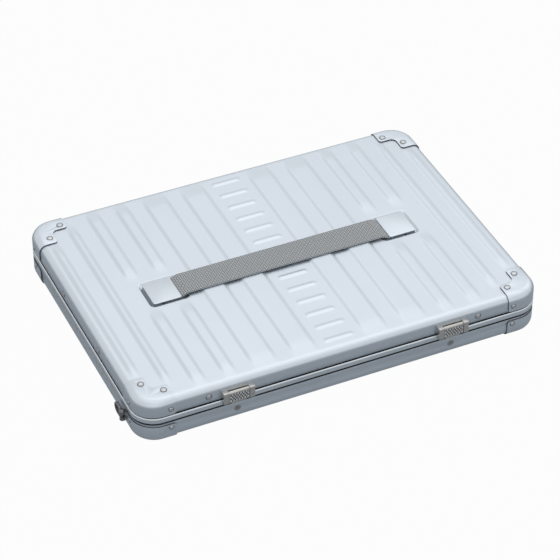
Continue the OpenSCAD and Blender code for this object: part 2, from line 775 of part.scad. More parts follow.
// Countersunk rivet from a seat at height 0 downwards, grown by a clearance.
module sunk_rivet(stack, grow) {
    translate([0, 0, -cap_t]) cylinder(h = cap_t, r1 = rivet_r + grow, r2 = rivet_head_r + grow, $fn = fine);
    translate([0, 0, -stack - cut]) cylinder(h = stack + cut, r = rivet_r + grow, $fn = fine);
}

module base_cap_rivets() color(steel) lift() {
    cap_places() rotate([180, 0, 0]) translate([0, 0, cap_t]) {
        difference() {
            sunk_rivet(cap_t + sheet_t, 0);
            translate([0, 0, -cap_t - sheet_t - 2 * cut]) cylinder(h = 2 * cut, r = 2 * rivet_r);
        }
        translate([0, 0, -cap_t - sheet_t - rivet_tail_h]) cylinder(h = rivet_tail_h, r = rivet_tail_r, $fn = fine);
    }
}

module base_side_rivets() color(steel) lift() {
    side_places(base_rivet_z) translate([0, 0, cap_t]) rivet(cap_t + leg_in, side_head_r);
}

module base_foam_tray() color(foam_grey) lift() {
    difference() {
        block(foam_w, foam_d, foam_r, tray_z, tray_top_z);
        block(foam_w - 2 * tray_wall, foam_d - 2 * tray_wall, tray_r, tray_z + tray_floor, tray_top_z + cut);
    }
}

// ---------- hinges ----------

// Leaf with its pad and knuckles. up is -1 for the base and 1 for the lid.
module hinge_leaf(end_z, pad_from, pad_to, rivet_z, base_side) {
    low = min(end_z, hinge_pin_z);
    high = max(end_z, hinge_pin_z);
    mid_l = hinge_l - 2 * knuckle_l;
    for (s = [-1, 1]) difference() {
        union() {
            along_x(s * hinge_x, hinge_l, 1) {
                bar_2d(knuckle_off, leaf_out, low, high);
                bar_2d(0, leaf_out, pad_from, pad_to);
            }
            if (base_side) {
                for (d = [-1, 1])
                    rod_x(s * hinge_x + d * (hinge_l - knuckle_l) / 2, knuckle_l, 1,
                          hinge_pin_out, hinge_pin_z, knuckle_r);
            } else {
                rod_x(s * hinge_x, mid_l - 2 * knuckle_gap, 1, hinge_pin_out, hinge_pin_z, knuckle_r);
            }
        }
        if (base_side) {
            rod_x(s * hinge_x, mid_l, 1, hinge_pin_out, hinge_pin_z, knuckle_r + leaf_clear);
            rod_x(s * hinge_x, hinge_l + 2 * cut, 1, hinge_pin_out, hinge_pin_z, hinge_pin_r);
        } else {
            for (d = [-1, 1])
                rod_x(s * hinge_x + d * (mid_l - knuckle_gap + knuckle_l + cut) / 2,
                      knuckle_l + knuckle_gap + cut, 1, hinge_pin_out, hinge_pin_z, knuckle_r + leaf_clear);
            rod_x(s * hinge_x, hinge_l + 2 * cut, 1, hinge_pin_out, hinge_pin_z, hinge_pin_r + hinge_pin_clear);
        }
        hinge_rivet_places(rivet_z) rivet_hole(leaf_out + cut);
        hinge_rivet_places(rivet_z) cylinder(h = leaf_out + cut, r = rivet_r + rivet_clear, $fn = fine);
    }
}

module base_hinge_leaves() color(steel) lift() {
    hinge_leaf(leaf_low_z, leaf_low_z, lip_z - 0.4, hinge_rivet_base_z, true);
}

module hinge_pins() color(steel) lift() {
    for (s = [-1, 1]) rod_x(s * hinge_x, hinge_l, 1, hinge_pin_out, hinge_pin_z, hinge_pin_r);
}

module base_hinge_rivets() color(steel) lift() {
    hinge_rivet_places(hinge_rivet_base_z) translate([0, 0, leaf_out]) rivet(leaf_out + leg_in, side_head_r);
}

// ---------- locks and keepers ----------

module lock_hole(deep) {
    translate([0, 0, -deep - cut]) cylinder(h = deep + 2 * cut, r = lock_r + rivet_clear);
}

module latch_keepers() color(nickel) lift() {
    difference() {
        for (s = [-1, 1]) along_x(s * latch_x, 2 * keeper_half, -1) {
            bar_2d(-keeper_in, -sheet_t, keeper_low_z, keeper_z);
            bar_2d(-keeper_in, keeper_lip_out, keeper_z - keeper_lip_t, keeper_z);
        }
        lock_places() lock_hole(keeper_in);
    }
}

module lock_barrels() color(gunmetal) lift() {
    lock_places() difference() {
        translate([0, 0, -lock_l]) cylinder(h = lock_l, r = lock_r);
        translate([0, 0, -lock_l - cut]) cylinder(h = lock_l + 2 * cut, r = plug_r + plug_clear);
    }
}

module lock_nuts() color(steel) lift() {
    lock_places() translate([0, 0, -keeper_in - nut_t]) difference() {
        cylinder(h = nut_t, r = nut_r, $fn = 6);
        translate([0, 0, -cut]) cylinder(h = nut_t + 2 * cut, r = lock_r);
    }
}

module lock_plug(s) {
    on_wall(2, -s * latch_x, lock_z) {
        difference() {
            translate([0, 0, -lock_l - plug_disc_gap]) cylinder(h = lock_l + plug_disc_gap - plug_in, r = plug_r);
            translate([-keyway_w / 2, -plug_r + 0.5, -lock_l / 2]) cube([keyway_w, 2 * plug_r - 1, lock_l]);
        }
        translate([0, 0, -lock_l - plug_disc_gap - plug_disc_t]) cylinder(h = plug_disc_t, r = plug_disc_r);
    }
}

module lock_plug_left() color(steel) lift() {
    lock_plug(-1);
}

module lock_plug_right() color(steel) lift() {
    lock_plug(1);
}

// ---------- rings for a shoulder strap ----------

module ring_posts() color(gunmetal) lift() {
    post_places() {
        translate([0, 0, -leg_in]) cylinder(h = leg_in + cap_t, r = rivet_r, $fn = fine);
        translate([0, 0, -leg_in - rivet_tail_h]) cylinder(h = rivet_tail_h, r = rivet_tail_r, $fn = fine);
        translate([0, 0, cap_t]) cylinder(h = post_flange_t, r = post_flange_r);
        difference() {
            union() {
                translate([-post_w / 2, -post_h / 2, post_base])
                    cube([post_w, post_h, ring_pin_at - post_base]);
                translate([0, post_h / 2, ring_pin_at]) rotate([90, 0, 0]) cylinder(h = post_h, r = post_w / 2);
            }
            translate([0, post_h, ring_pin_at]) rotate([90, 0, 0]) cylinder(h = 2 * post_h, r = ring_pin_r);
            translate([-post_w, -ring_eye_h / 2 - ring_clear, ring_pin_at - ring_t / 2 - ring_clear])
                cube([2 * post_w, ring_eye_h + 2 * ring_clear, 2 * post_w]);
        }
    }
}

module ring_pins() color(steel) lift() {
    post_places() translate([0, post_h / 2, ring_pin_at]) rotate([90, 0, 0])
        cylinder(h = post_h, r = ring_pin_r);
}

// Outline of a D-shaped loop that starts at x and bows to radius r.
module loop_2d(x, r, heel_r) {
    bow = ring_l - ring_r;
    translate([x + heel_r, -r]) square([bow - x - heel_r, 2 * r]);
    translate([x, heel_r - r]) square([bow - x, 2 * (r - heel_r)]);
    for (s = [-1, 1]) translate([x + heel_r, s * (r - heel_r)]) circle(heel_r);
    translate([bow, 0]) circle(r);
}

// Ring lying back from its pin. turn is the side it lies to in the wall's own frame.
module strap_ring(turn) {
    rotate(turn > 0 ? 0 : 180) difference() {
        union() {
            translate([0, 0, ring_pin_at - ring_t / 2]) linear_extrude(ring_t) {
                difference() {
                    loop_2d(ring_heel, ring_r, ring_heel_r);
                    loop_2d(ring_heel + ring_bar, ring_r - ring_bar, ring_heel_r / 2);
                }
                translate([0, -ring_eye_h / 2]) square([ring_heel + ring_bar / 2, ring_eye_h]);
            }
            translate([0, ring_eye_h / 2, ring_pin_at]) rotate([90, 0, 0])
                cylinder(h = ring_eye_h, r = ring_t / 2);
        }
        translate([0, ring_eye_h, ring_pin_at]) rotate([90, 0, 0])
            cylinder(h = 2 * ring_eye_h, r = ring_pin_r + ring_pin_clear);
    }
}

module strap_ring_left() color(gunmetal) lift() {
    on_wall(1, -ring_y, ring_z) strap_ring(1);
}

module strap_ring_right() color(gunmetal) lift() {
    on_wall(3, ring_y, ring_z) strap_ring(-1);
}

// ---------- lid ----------

module lid_shell() color(alu) lift() {
    difference() {
        union() {
            sweep() {
                bar_2d(-sheet_t, 0, lid_sheet_z, body_h - edge_r);
                edge_2d(edge_r, inner_edge_r, body_h, 1);
            }
            block(body_w - 2 * edge_r, body_d - 2 * edge_r, flat_r, lid_in_z, body_h);
            translate([0, 0, body_h]) ribs();
            pockets(sheet_t, pocket_in_z, lid_in_z);
        }
        translate([0, 0, lid_in_z]) ribs();
        pockets(0, pocket_z, rib_top_z + cut);
        translate([0, 0, body_h]) cap_places() rivet_hole(2 * sheet_t);
        side_places(lid_rivet_z) rivet_hole(sheet_t);
        frame_places(lid_rivet_z) rivet_hole(sheet_t);
        hinge_rivet_places(hinge_rivet_lid_z) rivet_hole(sheet_t);
        latch_rivet_places() rivet_hole(sheet_t);
        stud_places(pocket_z) rivet_hole(sheet_t);
    }
}

module lid_frame() color(alu) lift() {
    difference() {
        sweep() lid_frame_2d();
        for (s = [-1, 1]) {
            along_x(s * latch_x, 2 * notch_half, -1)
                bar_2d(-keeper_in - notch_clear, band_out + cut, rim_h, keeper_z + notch_clear);
        }
        side_places(lid_rivet_z) rivet_hole(leg_in);
        frame_places(lid_rivet_z) rivet_hole(leg_in);
        hinge_rivet_places(hinge_rivet_lid_z) rivet_hole(leg_in);
        latch_rivet_places() rivet_hole(leg_in);
    }
}

module lid_frame_2d() {
    difference() {
        union() {
            bar_2d(-frame_w, -groove_in, band_z, lid_sheet_z);
            polygon([[-groove_in - cut, band_z], [band_out, band_z], [band_out, band_top_z - band_bevel],
                     [band_out - band_bevel, band_top_z], [-groove_in - cut, band_top_z]]);
            bar_2d(-leg_in, -sheet_t, band_z, lid_leg_z);
        }
        bar_2d(-channel_out - channel_w, -channel_out, band_z - cut, seal_top_z);
    }
}

module lid_seal() color(rubber) lift() {
    sweep() bar_2d(-channel_out - channel_w + seal_clear, -channel_out - seal_clear, seal_z, seal_top_z);
}

module lid_corner_caps() color(alu) lift() {
    difference() {
        translate([0, 0, body_h]) mirror([0, 0, 1]) caps(body_h - lid_cap_z);
        translate([0, 0, body_h + cap_t]) cap_places() rivet_hole(cap_t);
        side_places(lid_rivet_z) rivet_hole(leg_in);
    }
}

module lid_cap_rivets() color(steel) lift() {
    translate([0, 0, body_h + cap_t]) cap_places() rivet(cap_t + sheet_t);
}

module lid_side_rivets() color(steel) lift() {
    side_places(lid_rivet_z) translate([0, 0, cap_t]) rivet(cap_t + leg_in, side_head_r);
}

module lid_frame_rivets() color(steel) lift() {
    frame_places(lid_rivet_z) rivet(leg_in);
}

module lid_foam_pad() color(foam_grey) lift() {
    difference() {
        block(foam_w, foam_d, foam_r, pad_z, pad_top_z);
        pockets(sheet_t + pad_clear, backing_z - rivet_tail_h - foam_clear, pad_top_z + cut);
    }
}

module lid_hinge_leaves() color(steel) lift() {
    hinge_leaf(leaf_top_z, lid_cap_z, leaf_top_z, hinge_rivet_lid_z, false);
}

module lid_hinge_rivets() color(steel) lift() {
    hinge_rivet_places(hinge_rivet_lid_z) translate([0, 0, leaf_out]) rivet(leaf_out + leg_in, side_head_r);
}

// ---------- latches ----------

module latch_housings() color(nickel) lift() {
    difference() {
        for (s = [-1, 1]) {
            along_x(s * latch_x, latch_w, -1)
                bar_2d(0, latch_plate_t, lid_sheet_z + rivet_clear, latch_top_z);
            for (d = [-1, 1])
                along_x(s * latch_x + d * (latch_w - ear_w) / 2, ear_w, -1) ear_2d();
        }
        for (s = [-1, 1]) rod_x(s * latch_x, latch_w + 2 * cut, -1, flap_pin_out, flap_pin_z, flap_pin_r);
        latch_rivet_places() cylinder(h = 2 * latch_plate_t, r = rivet_r + rivet_clear, $fn = fine);
        latch_rivet_places() rivet_hole(leg_in);
    }
}

module ear_2d() {
    difference() {
        union() {
            bar_2d(0, ear_out, lid_sheet_z + rivet_clear, latch_top_z);
            bar_2d(band_out + rivet_clear, ear_out, ear_low_z, latch_top_z);
        }
        translate([ear_out, latch_top_z]) rotate(180) nip_2d(ear_round);
        translate([ear_out, ear_low_z]) rotate(90) nip_2d(ear_round);
    }
}

module latch_rivets() color(steel) lift() {
    latch_rivet_places() translate([0, 0, latch_plate_t]) rivet(latch_plate_t + leg_in, side_head_r);
}

module latch_pins() color(steel) lift() {
    for (s = [-1, 1]) rod_x(s * latch_x, latch_w, -1, flap_pin_out, flap_pin_z, flap_pin_r);
}

module latch_flap(s) {
    x = s * latch_x;
    difference() {
        union() {
            rod_x(x, 2 * flap_half, -1, flap_pin_out, flap_pin_z, flap_barrel_r);
            along_x(x, 2 * flap_half, -1) bar_2d(flap_front - flap_t, flap_front, flap_low_z, flap_pin_z);
            along_x(x, claw_w, -1) {
                bar_2d(arm_out, flap_front - flap_t, tooth_z, flap_low_z + flap_t);
                bar_2d(arm_out - tooth_reach, arm_out, tooth_z, tooth_top_z);
            }
        }
        rod_x(x, latch_w, -1, flap_pin_out, flap_pin_z, flap_pin_r + flap_pin_clear);
    }
}

module latch_flap_left() color(nickel) lift() {
    latch_flap(-1);
}

module latch_flap_right() color(nickel) lift() {
    latch_flap(1);
}

// ---------- strap handle ----------

module strap_plates() color(nickel) lift() {
    for (s = [0, 1]) mirror([s, 0, 0]) {
        translate([plate_x + plate_l / 2, strap_y, plate_z]) linear_extrude(plate_t)
            plate_2d(plate_l, plate_w, plate_r);
        translate([plate_end_x - foot_l, strap_y - foot_w / 2, pocket_z])
            cube([foot_l, foot_w, plate_z - pocket_z]);
    }
    stud_places(backing_z - rivet_tail_h) {
        cylinder(h = rivet_tail_h, r = rivet_tail_r, $fn = fine);
        cylinder(h = pocket_z - backing_z + rivet_tail_h, r = stud_r, $fn = fine);
    }
}

module strap_backing_plates() color(steel) lift() {
    half_y = stud_y + backing_margin;
    difference() {
        for (s = [0, 1]) mirror([s, 0, 0])
            translate([stud_x - backing_margin, strap_y - half_y, backing_z])
                cube([2 * backing_margin, 2 * half_y, backing_t]);
        stud_places(pocket_z) rivet_hole(pocket_z - backing_z);
    }
}

// Webbing with a side profile in X and Z, pulled across the strap's width.
module webbing() {
    translate([0, strap_y + strap_w / 2, 0]) rotate([90, 0, 0]) linear_extrude(strap_w) children();
}

// End of the strap on the right: flat under its plate, then sloping up to the ribs.
module strap_end_2d() {
    bend = strap_bend_x + strap_cut / 2;
    polygon([[bend, strap_z], [strap_low_x, strap_low_z], [strap_end_x, strap_low_z],
             [strap_end_x, strap_low_z + strap_t], [strap_low_x, strap_low_z + strap_t],
             [bend, strap_z + strap_t]]);
}

module strap_half_2d() {
    translate([strap_cut / 2, strap_z]) square([strap_bend_x - strap_cut, strap_t]);
}

module strap_fixed_end() color(web_grey) lift() {
    webbing() mirror([1, 0]) strap_end_2d();
}

module strap_left_half() color(web_grey) lift() {
    webbing() mirror([1, 0]) strap_half_2d();
}

module strap_right_half() color(web_grey) lift() {
    webbing() strap_half_2d();
}

module strap_sliding_end() color(web_grey) lift() {
    webbing() strap_end_2d();
}

base_shell();
base_frame();
base_corner_caps();
base_cap_rivets();
base_side_rivets();
base_foam_tray();
base_hinge_leaves();
hinge_pins();
base_hinge_rivets();
latch_keepers();
lock_barrels();
lock_nuts();
lock_plug_left();
lock_plug_right();
ring_posts();
ring_pins();
strap_ring_left();
strap_ring_right();
lid_shell();
lid_frame();
lid_seal();
lid_corner_caps();
lid_cap_rivets();
lid_side_rivets();
lid_frame_rivets();
lid_foam_pad();
lid_hinge_leaves();
lid_hinge_rivets();
latch_housings();
latch_rivets();
latch_pins();
latch_flap_left();
latch_flap_right();
strap_plates();
strap_backing_plates();
strap_fixed_end();
strap_left_half();
strap_right_half();
strap_sliding_end();
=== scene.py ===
"""A slim aluminium laptop case, closed and lying flat, dressed for a plain studio picture."""

import json
import math

import bmesh
import bpy
import numpy as np
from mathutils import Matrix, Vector

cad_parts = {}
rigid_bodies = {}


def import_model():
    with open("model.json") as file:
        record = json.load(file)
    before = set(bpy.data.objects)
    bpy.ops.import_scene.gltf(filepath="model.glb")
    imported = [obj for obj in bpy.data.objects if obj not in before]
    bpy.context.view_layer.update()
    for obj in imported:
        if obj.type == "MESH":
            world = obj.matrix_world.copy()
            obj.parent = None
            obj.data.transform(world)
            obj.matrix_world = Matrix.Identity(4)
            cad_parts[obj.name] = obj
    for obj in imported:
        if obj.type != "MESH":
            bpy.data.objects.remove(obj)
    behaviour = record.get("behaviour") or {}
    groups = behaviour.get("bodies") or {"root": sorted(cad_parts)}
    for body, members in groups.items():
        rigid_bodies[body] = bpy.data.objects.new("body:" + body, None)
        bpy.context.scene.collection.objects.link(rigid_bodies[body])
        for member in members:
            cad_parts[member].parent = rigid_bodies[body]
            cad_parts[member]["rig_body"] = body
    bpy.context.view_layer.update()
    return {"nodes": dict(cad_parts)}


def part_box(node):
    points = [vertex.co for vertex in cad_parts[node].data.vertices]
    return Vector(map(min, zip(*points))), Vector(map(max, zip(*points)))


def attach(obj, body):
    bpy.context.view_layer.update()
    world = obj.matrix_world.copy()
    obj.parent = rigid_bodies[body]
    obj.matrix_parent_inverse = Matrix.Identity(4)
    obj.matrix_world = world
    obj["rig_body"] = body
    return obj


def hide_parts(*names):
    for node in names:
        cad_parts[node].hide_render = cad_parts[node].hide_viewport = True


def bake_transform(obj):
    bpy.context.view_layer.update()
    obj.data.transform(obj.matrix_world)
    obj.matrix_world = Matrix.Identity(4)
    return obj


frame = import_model()
scene = bpy.context.scene
cad = frame["nodes"]
MM = 0.001

# ---------- sizes that the looks share with the part's source, in millimetres ----------

LIFT = 1.1                      # the corner caps raise the sheets by their thickness
SIDE_X, SIDE_Y = 195.0, 140.0   # faces of the sheet walls
CORNER_R = 21.5                 # the four upright corners, in plan
EDGE_R = 6.8                    # between the walls and the flat faces
SHEET_T = 1.2
TOP_Z = 44.0 + LIFT             # the lid's flat face
RIM_Z = 20.6 + LIFT             # top of the base's rim
BAND_Z = 21.7 + LIFT            # lower edge of the lid's band
BAND_TOP_Z = 26.8 + LIFT
LID_LOW_Z = 27.6 + LIFT         # lower edge of the lid sheet
STRAP_Y = -1.6                  # the strap's centre line
STRAP_W, STRAP_T = 28.6, 1.6
STRAP_Z = 45.5 + LIFT           # underside of the webbing on the ribs
STRAP_LOW_Z = 42.5 + LIFT       # underside of the webbing under its plates
STRAP_END = 120.0               # half the webbing's length along X

CORNER_X, CORNER_Y = SIDE_X - CORNER_R, SIDE_Y - CORNER_R   # centres of the upright corners
FLAT_X, FLAT_Y = SIDE_X - EDGE_R, SIDE_Y - EDGE_R           # outline of the flat faces
FLAT_R = CORNER_R - EDGE_R


# ---------- nodes ----------

def feed(tree, socket, value):
    """Links a socket to another one, or gives it a plain value."""
    if isinstance(value, bpy.types.NodeSocket):
        tree.links.new(value, socket)
    else:
        socket.default_value = value


def fill(tree, made, **values):
    """Feeds a node's sockets by their names, with _ for a blank; any other name is a setting of the node."""
    for key, value in values.items():
        label = key.replace("_", " ")
        if label in made.inputs.keys():
            feed(tree, made.inputs[label], value)
        else:
            setattr(made, key, value)


def node(tree, kind, **values):
    made = tree.nodes.new(kind)
    fill(tree, made, **values)
    return made


def math_node(tree, operation, *values):
    """The result of one sum: each value is a socket or a number."""
    made = node(tree, "ShaderNodeMath", operation=operation)
    for socket, value in zip(made.inputs, values):
        feed(tree, socket, value)
    return made.outputs[0]


def node_group(name, kind, inputs, outputs):
    """A node group with its input and output nodes.

    inputs gives (label, kind, value) for each socket, outputs (label, kind).
    """
    tree = bpy.data.node_groups.new(name, kind)
    for label, socket_kind, value in inputs:
        socket = tree.interface.new_socket(label, in_out="INPUT", socket_type=socket_kind)
        if value is not None:
            socket.default_value = value
    for label, socket_kind in outputs:
        tree.interface.new_socket(label, in_out="OUTPUT", socket_type=socket_kind)
    return tree, node(tree, "NodeGroupInput"), node(tree, "NodeGroupOutput")


def lay_out(tree, wide=220, tall=260):
    """Sets a tree's nodes in columns, by how many links they stand from its end."""
    column = {made.name: 0 for made in tree.nodes}
    for _ in tree.nodes:
        for link in tree.links:
            before, after = link.from_node.name, link.to_node.name
            column[before] = max(column[before], column[after] + 1)
    filled = {}
    for made in tree.nodes:
        at = column[made.name]
        made.location = (-wide * at, -tall * filled.get(at, 0))
        filled[at] = filled.get(at, 0) + 1


# ---------- camera, lamps and backdrop ----------

LENS, SENSOR = 158.02, 36.0                 # millimetres
CAMERA_TURN, CAMERA_TILT = 24.517, 39.056   # to the left of the case's front, and up, in degrees
CAMERA_FAR = 2.2599                         # metres from its target
TARGET = Vector((-1.194, -2.984, 19.0 + LIFT)) * MM
CLIP_NEAR, CLIP_FAR = 0.05, 50.0            # metres

# name, place and size in metres, power in watts
LAMPS = [
    ("overhead_softbox", (0.1, -0.2, 2.4), (3.2, 3.2), 9.5),
    ("back_softbox", (0.9, 1.1, 2.3), (2.6, 2.3), 5.8),
    ("right_softbox", (2.3, 0.6, 1.6), (1.6, 1.3), 3.0),
    ("front_softbox", (-0.9, -2.1, 1.0), (2.2, 1.5), 1.8),
]
LAMP_AIM = Vector((0, 0, 0.02))

WHITE = (1, 1, 1, 1)
PAPER = (0.52, 0.55, 0.575, 1)      # floor, as it takes light and shadow
PAPER_SEEN = 0.97                   # its share of plain white for the camera
PAPER_MIRRORED = 0.14               # and in the metal
PAPER_HALF, PAPER_DROP = 12.0, 0.0002
ROOM, ROOM_STRENGTH = (0.90, 0.95, 1.0, 1), 0.40


def link_object(name, data):
    obj = bpy.data.objects.new(name, data)
    scene.collection.objects.link(obj)
    return obj


def look_along(obj, way):
    """Turns a camera or lamp, which looks down its own -Z."""
    obj.rotation_mode = "QUATERNION"
    obj.rotation_quaternion = way.to_track_quat("-Z", "Y")


def make_camera():
    data = bpy.data.cameras.new("photo_camera")
    data.sensor_width = SENSOR
    data.lens = LENS
    data.clip_start, data.clip_end = CLIP_NEAR, CLIP_FAR
    turn, tilt = math.radians(CAMERA_TURN), math.radians(CAMERA_TILT)
    ahead = Vector((math.sin(turn) * math.cos(tilt), math.cos(turn) * math.cos(tilt), -math.sin(tilt)))
    camera = link_object("photo_camera", data)
    camera.location = TARGET - ahead * CAMERA_FAR
    look_along(camera, ahead)
    scene.camera = camera


def make_lamps():
    for name, place, size, power in LAMPS:
        data = bpy.data.lights.new(name, "AREA")
        data.shape = "RECTANGLE"
        data.size, data.size_y = size
        data.energy = power
        obj = link_object(name, data)
        obj.location = place
        look_along(obj, LAMP_AIM - Vector(place))


def show_backdrop(tree, out, plain, white, seen, mirrored):
    """Mixes white over a plain shader.

    seen is its share for the camera, mirrored its share for rays off metal or through glass.
    """
    path = node(tree, "ShaderNodeLightPath")
    bounced = math_node(tree, "MAXIMUM", path.outputs["Is Glossy Ray"], path.outputs["Is Transmission Ray"])
    share = math_node(tree, "MAXIMUM", math_node(tree, "MULTIPLY", path.outputs["Is Camera Ray"], seen),
                      math_node(tree, "MULTIPLY", bounced, mirrored))
    mix = node(tree, "ShaderNodeMixShader", Fac=share)
    tree.links.new(plain.outputs[0], mix.inputs[1])
    tree.links.new(white.outputs[0], mix.inputs[2])
    tree.links.new(mix.outputs[0], out.inputs["Surface"])


def make_floor():
    mesh = bpy.data.meshes.new("studio_floor")
    corners = [(-1, -1), (1, -1), (1, 1), (-1, 1)]
    mesh.from_pydata([(PAPER_HALF * x, PAPER_HALF * y, 0) for x, y in corners], [], [(0, 1, 2, 3)])
    floor = link_object("studio_floor", mesh)
    floor.location.z = -PAPER_DROP
    material = bpy.data.materials.new("studio_paper")
    material.use_nodes = True
    tree = material.node_tree
    tree.nodes.clear()
    show_backdrop(tree, node(tree, "ShaderNodeOutputMaterial"),
                  node(tree, "ShaderNodeBsdfDiffuse", Color=PAPER),
                  node(tree, "ShaderNodeEmission", Color=WHITE, Strength=1.0), PAPER_SEEN, PAPER_MIRRORED)
    mesh.materials.append(material)


def make_world():
    world = bpy.data.worlds.new("studio_world")
    scene.world = world
    world.use_nodes = True
    tree = world.node_tree
    tree.nodes.clear()
    show_backdrop(tree, node(tree, "ShaderNodeOutputWorld"),
                  node(tree, "ShaderNodeBackground", Color=ROOM, Strength=ROOM_STRENGTH),
                  node(tree, "ShaderNodeBackground", Color=WHITE, Strength=1.0), 1.0, 1.0)


def make_studio():
    make_floor()
    make_world()
    make_lamps()
    scene.view_settings.view_transform = "Standard"


# ---------- effects that several finishes use ----------

def grain_group():
    """Fine satin grain of rolled or plated metal, with slow clouding over the sheet; sizes in metres."""
    tree, given, result = node_group(
        "satin_grain", "ShaderNodeTree",
        [("Vector", "NodeSocketVector", (0, 0, 0)), ("Grain Size", "NodeSocketFloat", 0.0006),
         ("Stretch", "NodeSocketFloat", 6.0), ("Cloud Size", "NodeSocketFloat", 0.06)],
        [("Grain", "NodeSocketFloat"), ("Cloud", "NodeSocketFloat")])
    vector = given.outputs["Vector"]
    fine_scale = math_node(tree, "DIVIDE", 1.0, given.outputs["Grain Size"])
    long_scale = math_node(tree, "DIVIDE", fine_scale, given.outputs["Stretch"])
    scale = node(tree, "ShaderNodeCombineXYZ", X=fine_scale, Y=long_scale, Z=fine_scale)
    stretched = node(tree, "ShaderNodeVectorMath", operation="MULTIPLY", Vector=vector)
    tree.links.new(scale.outputs[0], stretched.inputs[1])
    fine = node(tree, "ShaderNodeTexNoise", Vector=stretched.outputs[0], Scale=1.0, Detail=3.0, Roughness=0.6)
    slow = node(tree, "ShaderNodeTexNoise", Vector=vector, Detail=3.0, Roughness=0.55,
                Scale=math_node(tree, "DIVIDE", 1.0, given.outputs["Cloud Size"]))
    fill(tree, result, Grain=fine.outputs["Fac"], Cloud=slow.outputs["Fac"])
    return tree


def weave_group():
    """Over-and-under threads on a flat map in metres: their height, and 1 where those along X are over."""
    tree, given, result = node_group(
        "plain_weave", "ShaderNodeTree",
        [("Vector", "NodeSocketVector", (0, 0, 0)), ("Thread", "NodeSocketFloat", 0.001)],
        [("Height", "NodeSocketFloat"), ("Over", "NodeSocketFloat")])
    parts = node(tree, "ShaderNodeSeparateXYZ", Vector=given.outputs["Vector"])
    waves = []
    for axis in ("X", "Y"):
        turns = math_node(tree, "DIVIDE", parts.outputs[axis], given.outputs["Thread"])
        waves.append(math_node(tree, "SINE", math_node(tree, "MULTIPLY", turns, math.pi)))
    over = node(tree, "ShaderNodeMapRange", interpolation_type="SMOOTHSTEP", From_Min=-0.3, From_Max=0.3,
                Value=math_node(tree, "MULTIPLY", waves[0], waves[1])).outputs["Result"]
    height = node(tree, "ShaderNodeMix")
    for k, value in ((0, over), (2, math_node(tree, "ABSOLUTE", waves[0])),
                     (3, math_node(tree, "ABSOLUTE", waves[1]))):
        tree.links.new(value, height.inputs[k])
    fill(tree, result, Height=height.outputs[0], Over=over)
    return tree


GRAIN = grain_group()
WEAVE = weave_group()


def span(tree, value, low, high, source=(0.25, 0.75)):
    """Maps a stretch of a 0..1 value, its middle half if no other is given, to low..high."""
    return node(tree, "ShaderNodeMapRange", From_Min=source[0], From_Max=source[1], To_Min=low, To_Max=high,
                Value=value).outputs["Result"]


def mixed(tree, share, first, second):
    """A colour between two others, each a socket or a plain colour: the second one where the share is 1."""
    mix = node(tree, "ShaderNodeMix", data_type="RGBA")
    feed(tree, mix.inputs[0], share)
    for socket, colour in ((mix.inputs[6], first), (mix.inputs[7], second)):
        feed(tree, socket, colour if isinstance(colour, bpy.types.NodeSocket) else (*colour, 1))
    return mix.outputs[2]


def seam_shade_mask(tree, coords, shaded_seams):
    """1 where the height lies in one of the seams, each (low, high) in millimetres, where shade is painted.
    """
    height = node(tree, "ShaderNodeSeparateXYZ", Vector=coords).outputs["Z"]
    mask = None
    for low, high in shaded_seams:
        near = math_node(tree, "COMPARE", height, (low + high) / 2 * MM, (high - low) / 2 * MM)
        mask = near if mask is None else math_node(tree, "MAXIMUM", mask, near)
    return mask


def bumped(tree, height, depth, **settings):
    """A normal that follows a height, with its depth in millimetres."""
    return node(tree, "ShaderNodeBump", Strength=1.0, Distance=depth * MM, Height=height,
                **settings).outputs["Normal"]


# ---------- finishes ----------

# heights at which the gaps and grooves between pieces are painted dark as the shade in them, as (low, high)
# in millimetres
SHEET_SEAM_SHADE = (LID_LOW_Z - 0.1, LID_LOW_Z + 0.42)
CAP_SEAM_SHADE = (LID_LOW_Z + 0.3, LID_LOW_Z + 0.7)
PARTING_GAP_SHADE = (RIM_Z - 1.45, BAND_Z + 0.14)
GROOVE_SEAM_SHADE = (BAND_TOP_Z - 0.05, LID_LOW_Z + 0.3)
PAINTED_SEAM_SHADE = (0.018, 0.021, 0.025)

WEAR_AND_SHADE_FROM = (0.25, 0.5)     # where a piece's mark turns from its hollows, painted dark as shade, to its bright tips, partly wear and partly painted highlight
HOLLOW_SHADE_SHARE = 0.05            # share of the metal's colour that is left in the hollows, which paints their shade

THREAD = 1.9                # millimetres from thread to thread of the webbing
THREAD_GREYS = ((0.68, 0.70, 0.71), (0.90, 0.92, 0.93))
# painted shade in the gaps between the threads
THREAD_GAP_SHADE = (0.15, 0.155, 0.16)
THREAD_DEPTH = 0.22         # millimetres
FUZZ_SCALE = 900.0
FUZZ_SHARE = 0.35           # of the thread's height

CELL_SCALE, CELL_DEPTH = 700.0, 0.4     # the foam's cells to a metre, and how deep they are in millimetres


def blank(name):
    """A new material with its tree and its Principled BSDF."""
    material = bpy.data.materials.new(name)
    material.use_nodes = True
    return material, material.node_tree, material.node_tree.nodes["Principled BSDF"]


